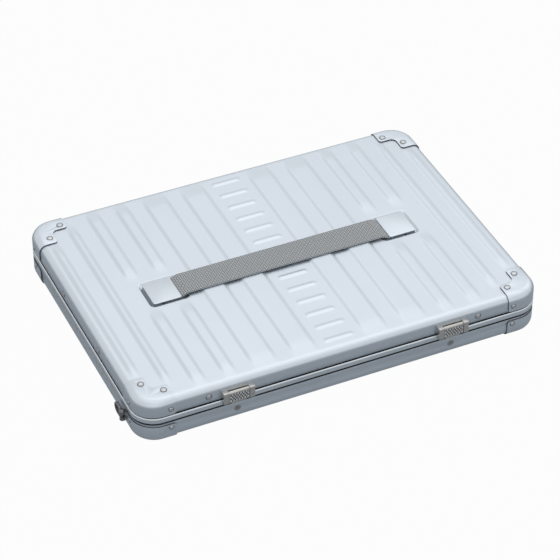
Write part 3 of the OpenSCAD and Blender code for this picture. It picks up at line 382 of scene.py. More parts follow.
def metal(name, colour, metallic, rough, grain=0.6, stretch=6.0, bump=0.01, tone=0.05, rough_swing=0.06,
          shaded_seams=(), wear_and_shade=None):
    """A satin metal: base colour that clouds slowly, grain in its roughness and bump.

    grain and bump are in millimetres; stretch makes the grain longer along Y; tone is the share by which the
    colour clouds; seams lists heights that are painted dark as the shade in the gaps between pieces; the last
    argument names an attribute that is 1 on bright tips, partly wear and partly painted highlight, and 0 in
    hollows, which are painted dark as shade.
    """
    material, tree, bsdf = blank(name)
    coords = node(tree, "ShaderNodeTexCoord").outputs["Object"]
    effect = node(tree, "ShaderNodeGroup", node_tree=GRAIN, Vector=coords, Grain_Size=grain * MM,
                  Stretch=stretch)
    dark = [c * (1 - tone) for c in colour]
    light = [min(1.0, c * (1 + tone)) for c in colour]
    tones = mixed(tree, span(tree, effect.outputs["Cloud"], 0.0, 1.0), dark, light)
    # the seams get a near-black colour: painted shade in the gaps and grooves between pieces
    if shaded_seams:
        tones = mixed(tree, seam_shade_mask(tree, coords, shaded_seams), tones, PAINTED_SEAM_SHADE)
    # the tips keep the colour, partly as wear and partly as painted highlight, and the hollows are painted
    # dark as shade
    if wear_and_shade:
        tip = node(tree, "ShaderNodeAttribute", attribute_name=wear_and_shade).outputs["Fac"]
        tones = mixed(tree, span(tree, tip, 1.0, 0.0, WEAR_AND_SHADE_FROM), tones, [c * HOLLOW_SHADE_SHARE for c in colour])
    fill(tree, bsdf, Base_Color=tones, Metallic=metallic,
         Roughness=span(tree, effect.outputs["Grain"], rough - rough_swing, rough + rough_swing),
         Normal=bumped(tree, effect.outputs["Grain"], bump))
    return material


def webbing(name):
    """Flat grey webbing: two thread directions with their own greys, fuzz, a soft sheen, and painted shade in
    the gaps between the threads.
    """
    material, tree, bsdf = blank(name)
    flat = node(tree, "ShaderNodeUVMap", uv_map="webbing_map").outputs["UV"]
    weave = node(tree, "ShaderNodeGroup", node_tree=WEAVE, Vector=flat, Thread=THREAD * MM)
    fuzz = node(tree, "ShaderNodeTexNoise", Vector=flat, Scale=FUZZ_SCALE, Detail=3.0).outputs["Fac"]
    thread = mixed(tree, span(tree, weave.outputs["Over"], 0.0, 1.0, (0, 1)), *THREAD_GREYS)
    gap_shade = span(tree, weave.outputs["Height"], 0.0, 1.0, (0.2, 0.95))
    height = math_node(tree, "ADD", weave.outputs["Height"], math_node(tree, "MULTIPLY", fuzz, FUZZ_SHARE))
    fill(tree, bsdf, Base_Color=mixed(tree, gap_shade, THREAD_GAP_SHADE, thread), Roughness=span(tree, fuzz, 0.7, 0.9),
         Normal=bumped(tree, height, THREAD_DEPTH), Sheen_Weight=0.15)
    return material


def foam(name, colour):
    """Open-cell foam: fine cells, lighter in their middles and dark between, where the bump sinks, as painted
    shade, under slow clouding.
    """
    material, tree, bsdf = blank(name)
    coords = node(tree, "ShaderNodeTexCoord").outputs["Object"]
    cells = node(tree, "ShaderNodeTexVoronoi", Vector=coords, Scale=CELL_SCALE).outputs["Distance"]
    slow = node(tree, "ShaderNodeTexNoise", Vector=coords, Scale=22.0, Detail=4.0).outputs["Fac"]
    tone = span(tree, math_node(tree, "MULTIPLY", cells, slow), 0.0, 1.0, (0.05, 0.5))
    fill(tree, bsdf, Base_Color=mixed(tree, tone, [c * 1.5 for c in colour], [c * 0.5 for c in colour]),
         Roughness=span(tree, slow, 0.85, 0.97), Normal=bumped(tree, cells, CELL_DEPTH, invert=True))
    return material


def make_finishes():
    """Every finish by its short name; after a metal's colour come its metallic and its roughness."""
    sheet_grain = {"bump": 0.006, "tone": 0.015, "rough_swing": 0.03}
    turned_grain = {"grain": 0.4, "stretch": 1.0}
    return {
        "sheet": metal("satin_sheet_aluminium", (0.60, 0.655, 0.712), 0.85, 0.34, shaded_seams=[SHEET_SEAM_SHADE],
                       **sheet_grain),
        "frame": metal("drawn_frame_aluminium", (0.66, 0.71, 0.75), 0.75, 0.3,
                       shaded_seams=[PARTING_GAP_SHADE, GROOVE_SEAM_SHADE], **turned_grain),
        "cap": metal("corner_cap_aluminium", (0.595, 0.65, 0.708), 0.85, 0.33, shaded_seams=[CAP_SEAM_SHADE],
                     **sheet_grain),
        "plate": metal("strap_plate_aluminium", (0.585, 0.635, 0.69), 0.85, 0.33, bump=0.006, tone=0.02),
        # edge faces of the plates and caps: painted shade in the gaps beside them
        "plate_edge": metal("strap_plate_edges", (0.27, 0.29, 0.315), 0.6, 0.4, stretch=1.0),
        "cap_edge": metal("corner_cap_edges", (0.10, 0.11, 0.125), 0.3, 0.6, stretch=1.0),
        # near white, so that its tips show partly wear and partly painted highlight; its hollows are painted
        # shade
        "check": metal("checked_latch_nickel", (1.0, 0.98, 0.95), 0.35, 0.34, stretch=1.0, wear_and_shade="tip"),
        "rivet": metal("domed_rivet_steel", (0.52, 0.54, 0.56), 0.9, 0.26, **turned_grain),
        # the collars round the rivet heads: painted shade where each head meets its seat
        "collar": metal("rivet_collar_steel", (0.24, 0.25, 0.265), 0.7, 0.4, **turned_grain),
        "lock": metal("lock_steel", (0.42, 0.43, 0.44), 0.7, 0.36, **turned_grain),
        "nickel": metal("plated_latch_nickel", (0.50, 0.487, 0.468), 0.85, 0.25, stretch=2.0),
        "steel": metal("rivet_steel", (0.56, 0.57, 0.59), 0.85, 0.28, **turned_grain),
        "gunmetal": metal("dark_ring_steel", (0.22, 0.215, 0.22), 0.8, 0.32, stretch=1.0),
        "web": webbing("strap_webbing"),
        "foam": foam("lining_foam", (0.045, 0.048, 0.055)),
        "rubber": metal("seal_rubber", (0.02, 0.02, 0.022), 0.0, 0.6, stretch=1.0),
    }


# ---------- meshes ----------

WELD = 2e-6                 # metres within which points are one
SLIVER = 1e-6               # metres under which an edge is none
FLAT_ANGLE = 0.6            # degrees under which two triangles are one flat face
BROKEN_ANGLE = 32           # degrees over which a solid's edge is broken
SOLID_SHARP = 40            # degrees over which its shading stays sharp


def plain_mesh(name, points, faces):
    """A mesh from points in millimetres."""
    mesh = bpy.data.meshes.new(name)
    mesh.from_pydata([tuple(c * MM for c in point) for point in points], [], faces)
    return mesh


def finish_piece(obj, body, finish, replaced, sharp):
    """Finishes an object as a piece: sharp is the angle in degrees over which its shading stays sharp.

    The body is left out for a piece that rides on none, and the finish for one that has its own.
    """
    if finish:
        obj.data.materials.clear()
        obj.data.materials.append(finish)
    obj.data.shade_smooth()
    obj.data.set_sharp_from_angle(angle=math.radians(sharp))
    if body:
        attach(obj, body)
    if replaced:
        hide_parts(*replaced)


def apply_modifiers(obj):
    """Turns an object with its modifiers into a plain mesh."""
    bpy.context.view_layer.update()
    shaped = obj.evaluated_get(bpy.context.evaluated_depsgraph_get())
    mesh = bpy.data.meshes.new_from_object(shaped)
    obj.modifiers.clear()
    obj.data = mesh


def merged_copy(name):
    """A copy of a CAD node's mesh with its triangles joined and its flat faces whole again."""
    mesh = cad[name].data.copy()
    bm = bmesh.new()
    bm.from_mesh(mesh)
    bmesh.ops.remove_doubles(bm, verts=bm.verts, dist=WELD)
    bmesh.ops.dissolve_degenerate(bm, edges=bm.edges, dist=SLIVER)
    bmesh.ops.dissolve_limit(bm, angle_limit=math.radians(FLAT_ANGLE), verts=bm.verts, edges=bm.edges)
    bm.to_mesh(mesh)
    bm.free()
    return mesh


def dressed(name, new_name, finish, width, segments):
    """A CAD node again as a finished piece, with its edges broken by a width in millimetres."""
    obj = link_object(new_name, merged_copy(name))
    bevel = obj.modifiers.new("edges", "BEVEL")
    bevel.width = width * MM
    bevel.segments = segments
    bevel.limit_method = "ANGLE"
    bevel.angle_limit = math.radians(BROKEN_ANGLE)
    bevel.use_clamp_overlap = True
    bevel.miter_outer = "MITER_ARC"
    apply_modifiers(obj)
    finish_piece(obj, cad[name]["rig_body"], finish, [name], SOLID_SHARP)
    return obj


def islands(name):
    """Corners of each separate solid in a CAD node, as arrays in metres."""
    bm = bmesh.new()
    bm.from_mesh(cad[name].data)
    bmesh.ops.remove_doubles(bm, verts=bm.verts, dist=WELD)
    left, found = set(bm.verts), []
    while left:
        todo, solid = [left.pop()], []
        while todo:
            corner = todo.pop()
            solid.append(corner.co.copy())
            for edge in corner.link_edges:
                other = edge.other_vert(corner)
                if other in left:
                    left.remove(other)
                    todo.append(other)
        found.append(np.array(solid))
    bm.free()
    return sorted(found, key=lambda corners: tuple(np.round(corners.mean(0), 4)))


# ---------- pressed lid sheet, in millimetres ----------

# The ribs of the right half; the left half is its mirror image. Each long one has its x, width and length.
RIB_H = 1.2
LONG_RIBS = [(34.3, 21.4, 254.0), (72.6, 21.4, 254.0), (159.4, 6.2, 232.0), (181.6, 6.2, 196.0)]
RIB_FLANK, RIB_END = 5.0, 24.0  # how wide the slopes at its sides are, and how long those at its ends
SPLIT_RIB_X = (105.8, 134.0)    # in line with the strap's plates, in front of them and behind
SPLIT_RIB_Y = 78.5              # middle of each half
SPLIT_RIB_W, SPLIT_RIB_L = 10.4, 94.0
SPLIT_FLANK, SPLIT_END = 4.8, 22.0

# the column of short ridges across the middle, in front of the strap and behind
RIDGE_H = 0.75
RIDGE_COUNT = 6
RIDGE_Y, RIDGE_PITCH = 28.4, 19.2
RIDGE_HALF_L, RIDGE_HALF_W = 13.2, 1.9
RIDGE_END, RIDGE_FLANK = 4.0, 3.4

# The drawn hollow of a strap plate, on the right: each size at its rim and at its floor
HOLLOW_INNER_X = (95.9, 97.5)
HOLLOW_OUTER_X = (135.0, 131.7)
HOLLOW_HALF_W = (18.5, 16.3)
HOLLOW_CORNER_R = (5.4, 3.5)
HOLLOW_CORNER_STEPS = 10
# lines of its slope: the way from rim (0) to floor (1), and the height over the flat face
HOLLOW_SLOPE = [(-0.8, 0.014), (-0.12, 0.012), (0.0, -0.01), (0.12, -0.1), (0.27, -0.36), (0.42, -0.72),
                (0.58, -1.1), (0.74, -1.45), (0.88, -1.7), (1.0, -1.8)]
HOLLOW_CUT = -0.12              # the flat face is cut here, and the lines outside lie on it

# the lid's grid: its usual spacing, its least, and its finer spacings with how far they reach to each side
COARSE_STEP, CLOSEST = 3.0, 0.25
FLANK_STEP, WIDE_REACH, NARROW_REACH = 0.7, 3.5, 3.0    # across the ribs' flanks
RIDGE_STEP, RIDGE_END_REACH, RIDGE_REACH = 0.6, 2.0, 3.6
END_STEP, END_REACH = 1.1, 8.5                          # along the ribs' ends
RIB_ENDS_Y = (125.0, 113.5, 95.5, 31.5)
HOLLOW_STEP, HOLLOW_REACH_X, HOLLOW_REACH_Y = 0.6, 4.5, 5.0
HOLLOW_ENDS_X, HOLLOW_SIDE_Y = (99.5, 133.2), 15.5
SQUEEZED = 2.0                      # rows are squeezed from this far inside the corners' centres
LID_EDGE_STEPS, LID_INNER_STEPS = 10, 6
LID_LIP = 0.15                      # bevel of the sheet's lower edge
LID_WAIST = 0.6                     # share of the wall's height at which it has one more line
LID_SHARP = 50


def smooth_step(x):
    x = np.clip(x, 0.0, 1.0)
    return x * x * (3 - 2 * x)


def bank(distance, half, flank):
    """1 inside half, 0 outside, with a smooth flank centred on half."""
    return smooth_step((half + flank / 2 - np.abs(distance)) / flank)


def lid_height(x, y):
    """Height of the pressed lid over its flat face."""
    x, y = np.abs(x), np.abs(y)
    height = np.zeros_like(x)
    for at, width, length in LONG_RIBS:
        rib = RIB_H * bank(x - at, width / 2, RIB_FLANK) * bank(y, (length - RIB_FLANK) / 2, RIB_END)
        height = np.maximum(height, rib)
    for at in SPLIT_RIB_X:
        along = bank(y - SPLIT_RIB_Y, SPLIT_RIB_L / 2, SPLIT_END)
        height = np.maximum(height, RIB_H * bank(x - at, SPLIT_RIB_W / 2, SPLIT_FLANK) * along)
    for k in range(RIDGE_COUNT):
        across = y - RIDGE_Y - RIDGE_PITCH * k
        ridge = RIDGE_H * bank(x, RIDGE_HALF_L, RIDGE_END) * bank(across, RIDGE_HALF_W, RIDGE_FLANK)
        height = np.maximum(height, ridge)
    return height


def hollow_sizes(t):
    """Inner end, outer end, half width and corner radius of the hollow, from its rim (0) to its floor (1)."""
    return [rim + (floor - rim) * t for rim, floor in
            (HOLLOW_INNER_X, HOLLOW_OUTER_X, HOLLOW_HALF_W, HOLLOW_CORNER_R)]


def inside_hollow(x, y, t):
    """Whether points lie inside the outline of either hollow at slope t."""
    inner, outer, half, r = hollow_sizes(t)
    over_x = np.maximum(np.abs(np.abs(x) - (inner + outer) / 2) - ((outer - inner) / 2 - r), 0)
    over_y = np.maximum(np.abs(y - STRAP_Y) - (half - r), 0)
    return np.hypot(over_x, over_y) <= r


def fine_places():
    """Where the lid's grid is finer, as (place, reach, step): along X, and along Y."""
    ribs = [(at, width) for at, width, _ in LONG_RIBS] + [(at, SPLIT_RIB_W) for at in SPLIT_RIB_X]
    widest = max(width for _, width in ribs)
    along_x, along_y = [], []
    for side in (-1, 1):
        for at, width in ribs:
            reach = WIDE_REACH if width == widest else NARROW_REACH
            along_x += [(side * (at + half), reach, FLANK_STEP) for half in (-width / 2, width / 2)]
        along_x += [(side * RIDGE_HALF_L, RIDGE_END_REACH, FLANK_STEP)]
        along_x += [(side * at, HOLLOW_REACH_X, HOLLOW_STEP) for at in HOLLOW_ENDS_X]
        along_y += [(side * at, END_REACH, END_STEP) for at in RIB_ENDS_Y]
        along_y += [(side * (RIDGE_Y + RIDGE_PITCH * k), RIDGE_REACH, RIDGE_STEP) for k in range(RIDGE_COUNT)]
        along_y += [(STRAP_Y + side * HOLLOW_SIDE_Y, HOLLOW_REACH_Y, HOLLOW_STEP)]
    return along_x, along_y


def grid_lines(places, end):
    """Sorted grid lines from -end to end: coarse everywhere, finer near the given (place, reach, step)."""
    coarse = set(np.round(np.arange(-end, end + 0.01, COARSE_STEP), 3)) | {-end, end}
    fine = set()
    for place, reach, step in places:
        coarse = {at for at in coarse if abs(at - place) > reach - 0.2 * step}
        fine |= set(np.round(np.arange(place - reach, place + reach + 0.01, step), 3))
    lines = [at for at in sorted(coarse | fine) if -end <= at <= end]
    kept = lines[:1]
    for at in lines[1:]:
        if at - kept[-1] > CLOSEST:
            kept.append(at)
    kept[0], kept[-1] = -end, end
    return np.array(kept)


def lid_grid():
    """Points of the lid's pressed face, in rows along X that end on the arcs of the corners."""
    along_x, along_y = fine_places()
    xs, ys = grid_lines(along_x, FLAT_X), grid_lines(along_y, FLAT_Y)
    grid = np.zeros((len(ys), len(xs), 3))
    start = CORNER_X - SQUEEZED
    for row, y in zip(grid, ys):
        over = max(0.0, abs(y) - CORNER_Y)
        reach = CORNER_X + math.sqrt(max(0.0, FLAT_R ** 2 - over ** 2))
        squeezed = np.sign(xs) * (start + (np.abs(xs) - start) * (reach - start) / (FLAT_X - start))
        row[:, 0] = np.where(np.abs(xs) > start, squeezed, xs)
        row[:, 1] = y
    grid[:, :, 2] = TOP_Z + lid_height(grid[:, :, 0], grid[:, :, 1])
    return grid


def grid_faces(hole, first, inside):
    """Faces of a grid whose points start at number first, apart from the cells of the hole."""
    rows, columns = hole.shape
    faces = []
    for j in range(rows):
        for i in range(columns):
            if not hole[j, i]:
                a, c = first + j * (columns + 1) + i, first + (j + 1) * (columns + 1) + i + 1
                faces.append((a, c - 1, c, a + 1) if inside else (a, a + 1, c, c - 1))
    return faces


def outline_of(rows, columns):
    """Point numbers round a grid, anticlockwise."""
    end = rows * columns
    front, right = range(columns), range(2 * columns - 1, end, columns)
    back, left = range(end - 2, end - columns - 1, -1), range(end - 2 * columns, 0, -columns)
    return [*front, *right, *back, *left]


def way_out(x, y):
    """The direction in plan that leads out of the flat face at a point of its outline."""
    way = Vector((x - math.copysign(min(abs(x), CORNER_X), x), y - math.copysign(min(abs(y), CORNER_Y), y)))
    return way.normalized()


def lid_wall_section():
    """The wall's section as (way out of the flat face, height over it): down outside and up inside."""
    low, inner_r = LID_LOW_Z - TOP_Z, EDGE_R - SHEET_T
    outside = [math.radians(90 * k / LID_EDGE_STEPS) for k in range(1, LID_EDGE_STEPS + 1)]
    inside = [math.radians(90 * k / LID_INNER_STEPS) for k in range(1, LID_INNER_STEPS + 1)]
    section = [(EDGE_R * math.sin(a), EDGE_R * (math.cos(a) - 1)) for a in outside]
    section += [(EDGE_R, low * LID_WAIST), (EDGE_R, low + LID_LIP), (EDGE_R - LID_LIP, low), (inner_r, low),
                (inner_r, -EDGE_R)]
    return section + [(inner_r * math.cos(a), -EDGE_R + inner_r * math.sin(a)) for a in inside]


def between(first, second):
    """Faces between two closed loops of point numbers."""
    count = len(first)
    return [(first[i], second[i], second[(i + 1) % count], first[(i + 1) % count]) for i in range(count)]


def lid_sheet_mesh():
    """The pressed face, the wall with its rounded edge, and the inner face, which follows the ribs."""
    grid = lid_grid()
    cut = inside_hollow(grid[:, :, 0], grid[:, :, 1], HOLLOW_CUT)
    hole = cut[:-1, :-1] | cut[1:, 1:] | cut[:-1, 1:] | cut[1:, :-1]
    points = grid.reshape(-1, 3).tolist()
    faces = grid_faces(hole, 0, False)
    rim = outline_of(*grid.shape[:2])
    ways = [way_out(points[k][0], points[k][1]) for k in rim]
    last = rim
    for out, up in lid_wall_section():
        ring = list(range(len(points), len(points) + len(rim)))
        points += [[points[k][0] + out * way.x, points[k][1] + out * way.y, TOP_Z + up]
                   for k, way in zip(rim, ways)]
        faces += between(last, ring)
        last = ring
    first = len(points)
    points += (grid - (0, 0, SHEET_T)).reshape(-1, 3).tolist()
    faces += grid_faces(hole, first, True)
    faces += between(last, [first + k for k in rim])
    return points, faces


def hollow_outline(t):
    """Plan of the hollow on the right as a loop of points."""
    inner, outer, half, r = hollow_sizes(t)
    centres = [(outer - r, half - r), (inner + r, half - r), (inner + r, r - half), (outer - r, r - half)]
    loop = []
    for k, (x, y) in enumerate(centres):
        for i in range(HOLLOW_CORNER_STEPS + 1):
            a = math.radians(90 * k + 90 * i / HOLLOW_CORNER_STEPS)
            loop.append((x + r * math.cos(a), STRAP_Y + y + r * math.sin(a)))
    return loop


def hollow_mesh(side):
    """The hollow on one side (1 or -1): a soft slope from the lid's face to its floor."""
    points, faces = [], []
    for t, up in HOLLOW_SLOPE:
        points += [(side * x, y, TOP_Z + up) for x, y in hollow_outline(t)]
    count, floor = 4 * (HOLLOW_CORNER_STEPS + 1), len(HOLLOW_SLOPE) - 1
    for k in range(floor):
        a, b = k * count, (k + 1) * count
        for i in range(count):
            after = (i + 1) % count
            faces.append((a + i, a + after, b + after, b + i))
    faces.append(tuple(range(floor * count, (floor + 1) * count)))
    return points, faces if side > 0 else [face[::-1] for face in faces]


def make_lid_sheet(finish):
    points, faces = lid_sheet_mesh()
    for side in (1, -1):
        more_points, more_faces = hollow_mesh(side)
        faces += [tuple(len(points) + k for k in face) for face in more_faces]
        points += more_points
    obj = link_object("ribbed_lid_sheet", plain_mesh("ribbed_lid_sheet", points, faces))
    finish_piece(obj, "lid", finish["sheet"], ["lid_shell"], LID_SHARP)


# ---------- the pieces that keep the shape of their solids ----------

# CAD node, new name, finish, width of the broken edges in millimetres
SOLID_PIECES = [
    ("base_shell", "base_sheet", "sheet", 0.25),
    ("base_frame", "base_rim", "frame", 0.2),
    ("lid_frame", "lid_band", "frame", 0.18),
    ("base_corner_caps", "base_caps", "cap", 0.28),
    ("lid_corner_caps", "lid_caps", "cap", 0.28),
    ("base_hinge_leaves", "hinge_base_leaves", "nickel", 0.22),
    ("lid_hinge_leaves", "hinge_lid_leaves", "nickel", 0.22),
    ("hinge_pins", "hinge_pin_rods", "steel", 0.12),
    ("latch_keepers", "latch_keeper_plates", "nickel", 0.15),
    ("lock_barrels", "lock_rings", "lock", 0.15),
    ("lock_nuts", "lock_hex_nuts", "steel", 0.15),
    ("lock_plug_left", "left_key_plug", "lock", 0.12),
    ("lock_plug_right", "right_key_plug", "lock", 0.12),
    ("ring_posts", "ring_barrels", "gunmetal", 0.3),
    ("ring_pins", "ring_pin_rods", "steel", 0.1),
    ("strap_ring_left", "left_ring", "gunmetal", 0.6),
    ("strap_ring_right", "right_ring", "gunmetal", 0.6),
    ("latch_housings", "latch_ears", "nickel", 0.42),
    ("latch_pins", "latch_pin_rods", "steel", 0.1),
    ("latch_flap_left", "left_latch_plate", "nickel", 0.22),
    ("latch_flap_right", "right_latch_plate", "nickel", 0.22),
    ("strap_plates", "strap_end_plates", "plate", 0.25),
    ("strap_backing_plates", "strap_inner_plates", "steel", 0.2),
    ("lid_seal", "rubber_seal", "rubber", 0.3),
    ("base_foam_tray", "foam_tray", "foam", 1.6),
    ("lid_foam_pad", "foam_lid_pad", "foam", 1.4),
]
ROUND_FINISHES = ("foam", "gunmetal")       # their broken edges are wide, and take a segment more
UPRIGHT = 0.3                               # a plate's face is an edge if its normal rises less than this
OFF_FACE = 0.8                              # a cap's face is an edge if it faces the way out less than this


def outward_at(point, face_z, up):
    """The way out of the case's rounded block at a point; face_z is the height of its flat face."""
    out = Vector((point.x - max(-CORNER_X, min(CORNER_X, point.x)),
                  point.y - max(-CORNER_Y, min(CORNER_Y, point.y)), 0))
    reach = out.length - FLAT_R
    rise = (point.z - face_z) * up + EDGE_R
    if reach <= 0:
        return Vector((0, 0, up))
    if rise <= 0:
        return out.normalized()
    return (out.normalized() * reach + Vector((0, 0, up)) * rise).normalized()


def paint_edge_shade(obj, finish, is_edge):
    """Gives a sheet piece's edge faces a dark finish: painted shade in the gaps beside them."""
    obj.data.materials.append(finish)
    for face in obj.data.polygons:
        if is_edge(face):
            face.material_index = 1


def cap_edge_test(face_z, up):
    """Tells the cut edges of corner caps from their faces."""
    return lambda face: abs(face.normal.dot(outward_at(face.center / MM, face_z, up))) < OFF_FACE


def make_solid_pieces(finish):
    for name, new_name, look, width in SOLID_PIECES:
        obj = dressed(name, new_name, finish[look], width, 3 if look in ROUND_FINISHES else 2)
        if look == "foam":
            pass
        elif name == "strap_plates":
            paint_edge_shade(obj, finish["plate_edge"], lambda face: abs(face.normal.z) < UPRIGHT)
        elif name == "lid_corner_caps":
            paint_edge_shade(obj, finish["cap_edge"], cap_edge_test(TOP_Z, 1))
        elif name == "base_corner_caps":
            paint_edge_shade(obj, finish["cap_edge"], cap_edge_test(LIFT, -1))


# ---------- rivets, in millimetres ----------

# CAD node and radius of its rivets' heads
RIVETS = [("base_cap_rivets", 2.6), ("base_side_rivets", 2.6), ("base_hinge_rivets", 2.6),
          ("lid_cap_rivets", 3.2), ("lid_side_rivets", 2.6), ("lid_frame_rivets", 3.2),
          ("lid_hinge_rivets", 2.6), ("latch_rivets", 2.6)]
SUNK_RIVETS = "base_cap_rivets"     # countersunk, because the case rests on these caps
HEAD_H, SUNK_HEAD_H = 0.9, 0.5
SUNK_DEPTH = 0.55
SHANK_R = 1.5
TAIL_H = 0.6
TAIL_SHARE = 1.5                    # the tail's radius, as a share of the shank's
DOME_SHARE = 0.80                   # the dome's radius, as a share of the head's
COLLAR_SHARE, COLLAR_WIRE_SHARE = 0.86, 0.14
RIVET_SHARP = 50


def rivet_seats(name):
    """Outer and inner end of each rivet of a CAD node, in metres, on its own centre line."""
    seats = []
    for corners in islands(name):
        low, high = corners.min(0), corners.max(0)
        middle = (low + high) / 2
        if name.endswith("cap_rivets"):
            way = np.array([0, 0, 1.0 if middle[2] > RIM_Z * MM else -1.0])
        elif abs(middle[0]) / SIDE_X > abs(middle[1]) / SIDE_Y:
            way = np.array([math.copysign(1, middle[0]), 0, 0])
        else:
            way = np.array([0, math.copysign(1, middle[1]), 0])
        reach = np.abs(way) @ (high - low) / 2
        seats.append((middle + way * reach, middle - way * reach))
    return seats


def named_attribute(tree, name, kind):
    return node(tree, "GeometryNodeInputNamedAttribute", data_type=kind, Name=name).outputs["Attribute"]


def rivet_head(tree, radius, height):
    """A flattened ball, half of it over its seat, and the collar round it, marked for the darker finish that
    paints the shade round the head.
    """
    ball_r = math_node(tree, "MULTIPLY", radius, DOME_SHARE)
    ball = node(tree, "GeometryNodeMeshUVSphere", Segments=28, Rings=12, Radius=ball_r)
    flat = node(tree, "ShaderNodeCombineXYZ", X=1.0, Y=1.0, Z=math_node(tree, "DIVIDE", height, ball_r))
    dome = node(tree, "GeometryNodeTransform", Geometry=ball.outputs["Mesh"], Scale=flat.outputs[0])
    path = node(tree, "GeometryNodeCurvePrimitiveCircle", Resolution=28,
                Radius=math_node(tree, "MULTIPLY", radius, COLLAR_SHARE))
    wire = node(tree, "GeometryNodeCurvePrimitiveCircle", Resolution=8,
                Radius=math_node(tree, "MULTIPLY", radius, COLLAR_WIRE_SHARE))
    collar = node(tree, "GeometryNodeCurveToMesh", Curve=path.outputs["Curve"])
    tree.links.new(wire.outputs["Curve"], collar.inputs["Profile Curve"])
    marked = node(tree, "GeometryNodeStoreNamedAttribute", data_type="BOOLEAN", domain="FACE", Value=True,
                  Name="collar", Geometry=collar.outputs[0])
    head = node(tree, "GeometryNodeJoinGeometry")
    for made in (dome, marked):
        tree.links.new(made.outputs[0], head.inputs["Geometry"])
    return head.outputs[0]


def rivet_shank(tree, radius):
    """A cylinder of unit length under its point, to be stretched to the rivet's grip."""
    shank = node(tree, "GeometryNodeMeshCylinder", Vertices=20, Depth=1.0, Radius=radius)
    return node(tree, "GeometryNodeTransform", Translation=(0, 0, -0.5),
                Geometry=shank.outputs["Mesh"]).outputs[0]


def tail_points(tree, points, way, grip):
    """The points moved back along each rivet, to the middle of its tail."""
    back = math_node(tree, "MULTIPLY", math_node(tree, "SUBTRACT", grip, TAIL_H / 2 * MM), -1.0)
    shift = node(tree, "ShaderNodeVectorMath", operation="SCALE", Vector=way, Scale=back)
    return node(tree, "GeometryNodeSetPosition", Geometry=points, Offset=shift.outputs[0]).outputs[0]


def rivet_tree():
    """Sets a rivet on every point: a domed head with its collar, a shank and a tail.

    Each point holds the rivet's way out of the case and its grip, the length under the head.
    """
    tree, given, result = node_group(
        "set_rivets", "GeometryNodeTree",
        [("Geometry", "NodeSocketGeometry", None), ("Head Radius", "NodeSocketFloat", 0.003),
         ("Head Height", "NodeSocketFloat", 0.0009), ("Shank Radius", "NodeSocketFloat", 0.0015),
         ("Finish", "NodeSocketMaterial", None), ("Collar Finish", "NodeSocketMaterial", None)],
        [("Geometry", "NodeSocketGeometry")])
    points, shank_r = given.outputs["Geometry"], given.outputs["Shank Radius"]
    way, grip = named_attribute(tree, "way", "FLOAT_VECTOR"), named_attribute(tree, "grip", "FLOAT")
    turn = node(tree, "FunctionNodeAlignRotationToVector", axis="Z", Vector=way).outputs[0]
    stretch = node(tree, "ShaderNodeCombineXYZ", X=1.0, Y=1.0, Z=grip).outputs[0]
    head = rivet_head(tree, given.outputs["Head Radius"], given.outputs["Head Height"])
    tail = node(tree, "GeometryNodeMeshCylinder", Vertices=24, Depth=TAIL_H * MM,
                Radius=math_node(tree, "MULTIPLY", shank_r, TAIL_SHARE)).outputs["Mesh"]
    whole = node(tree, "GeometryNodeJoinGeometry")
    for at, shape, scale in ((points, head, (1, 1, 1)), (points, rivet_shank(tree, shank_r), stretch),
                             (tail_points(tree, points, way, grip), tail, (1, 1, 1))):
        put = node(tree, "GeometryNodeInstanceOnPoints", Points=at, Instance=shape, Rotation=turn,
                   Scale=scale)
        tree.links.new(put.outputs[0], whole.inputs["Geometry"])
    real = node(tree, "GeometryNodeRealizeInstances", Geometry=whole.outputs[0])
    painted = node(tree, "GeometryNodeSetMaterial", Geometry=real.outputs[0],
                   Material=given.outputs["Finish"])
    collared = node(tree, "GeometryNodeSetMaterial", Geometry=painted.outputs[0],
                    Selection=named_attribute(tree, "collar", "BOOLEAN"),
                    Material=given.outputs["Collar Finish"])
    fill(tree, result, Geometry=collared.outputs[0])
    return tree


def set_inputs(modifier, **values):
    """Fills a geometry modifier's inputs by the identifier of each named socket."""
    for item in modifier.node_group.interface.items_tree:
        key = item.name.replace(" ", "_")
        if item.in_out == "INPUT" and key in values:
            modifier[item.identifier] = values[key]


def seat_mesh(name, sunk):
    """One point under the head of each rivet of a CAD node, with its way and its grip."""
    seats = rivet_seats(name)
    ways = [Vector(outer - inner).normalized() for outer, inner in seats]
    feet = [Vector(outer) - way * (0.0 if sunk else HEAD_H) * MM for (outer, _), way in zip(seats, ways)]
    grips = [(foot - Vector(inner)).length for foot, (_, inner) in zip(feet, seats)]
    mesh = bpy.data.meshes.new(name + "_seats")
    mesh.from_pydata([tuple(foot) for foot in feet], [], [])
    for label, kind, field, values in (("way", "FLOAT_VECTOR", "vector", ways),
                                       ("grip", "FLOAT", "value", grips)):
        attribute = mesh.attributes.new(label, kind, "POINT")
        attribute.data.foreach_set(field, np.array(values, np.float32).ravel())
    if sunk:
        for v in mesh.vertices:
            v.co.z += SUNK_DEPTH * MM
    return mesh


def make_rivets(finish):
    tree = rivet_tree()
    for name, radius in RIVETS:
        sunk = name == SUNK_RIVETS
        obj = link_object("domed_" + name, seat_mesh(name, sunk))
        modifier = obj.modifiers.new("rivets", "NODES")
        modifier.node_group = tree
        set_inputs(modifier, Head_Radius=radius * MM, Head_Height=(SUNK_HEAD_H if sunk else HEAD_H) * MM,
                   Shank_Radius=SHANK_R * MM, Finish=finish["rivet"], Collar_Finish=finish["collar"])
        apply_modifiers(obj)
        finish_piece(obj, cad[name]["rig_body"], None, [name], RIVET_SHARP)


# ---------- strap, in millimetres ----------

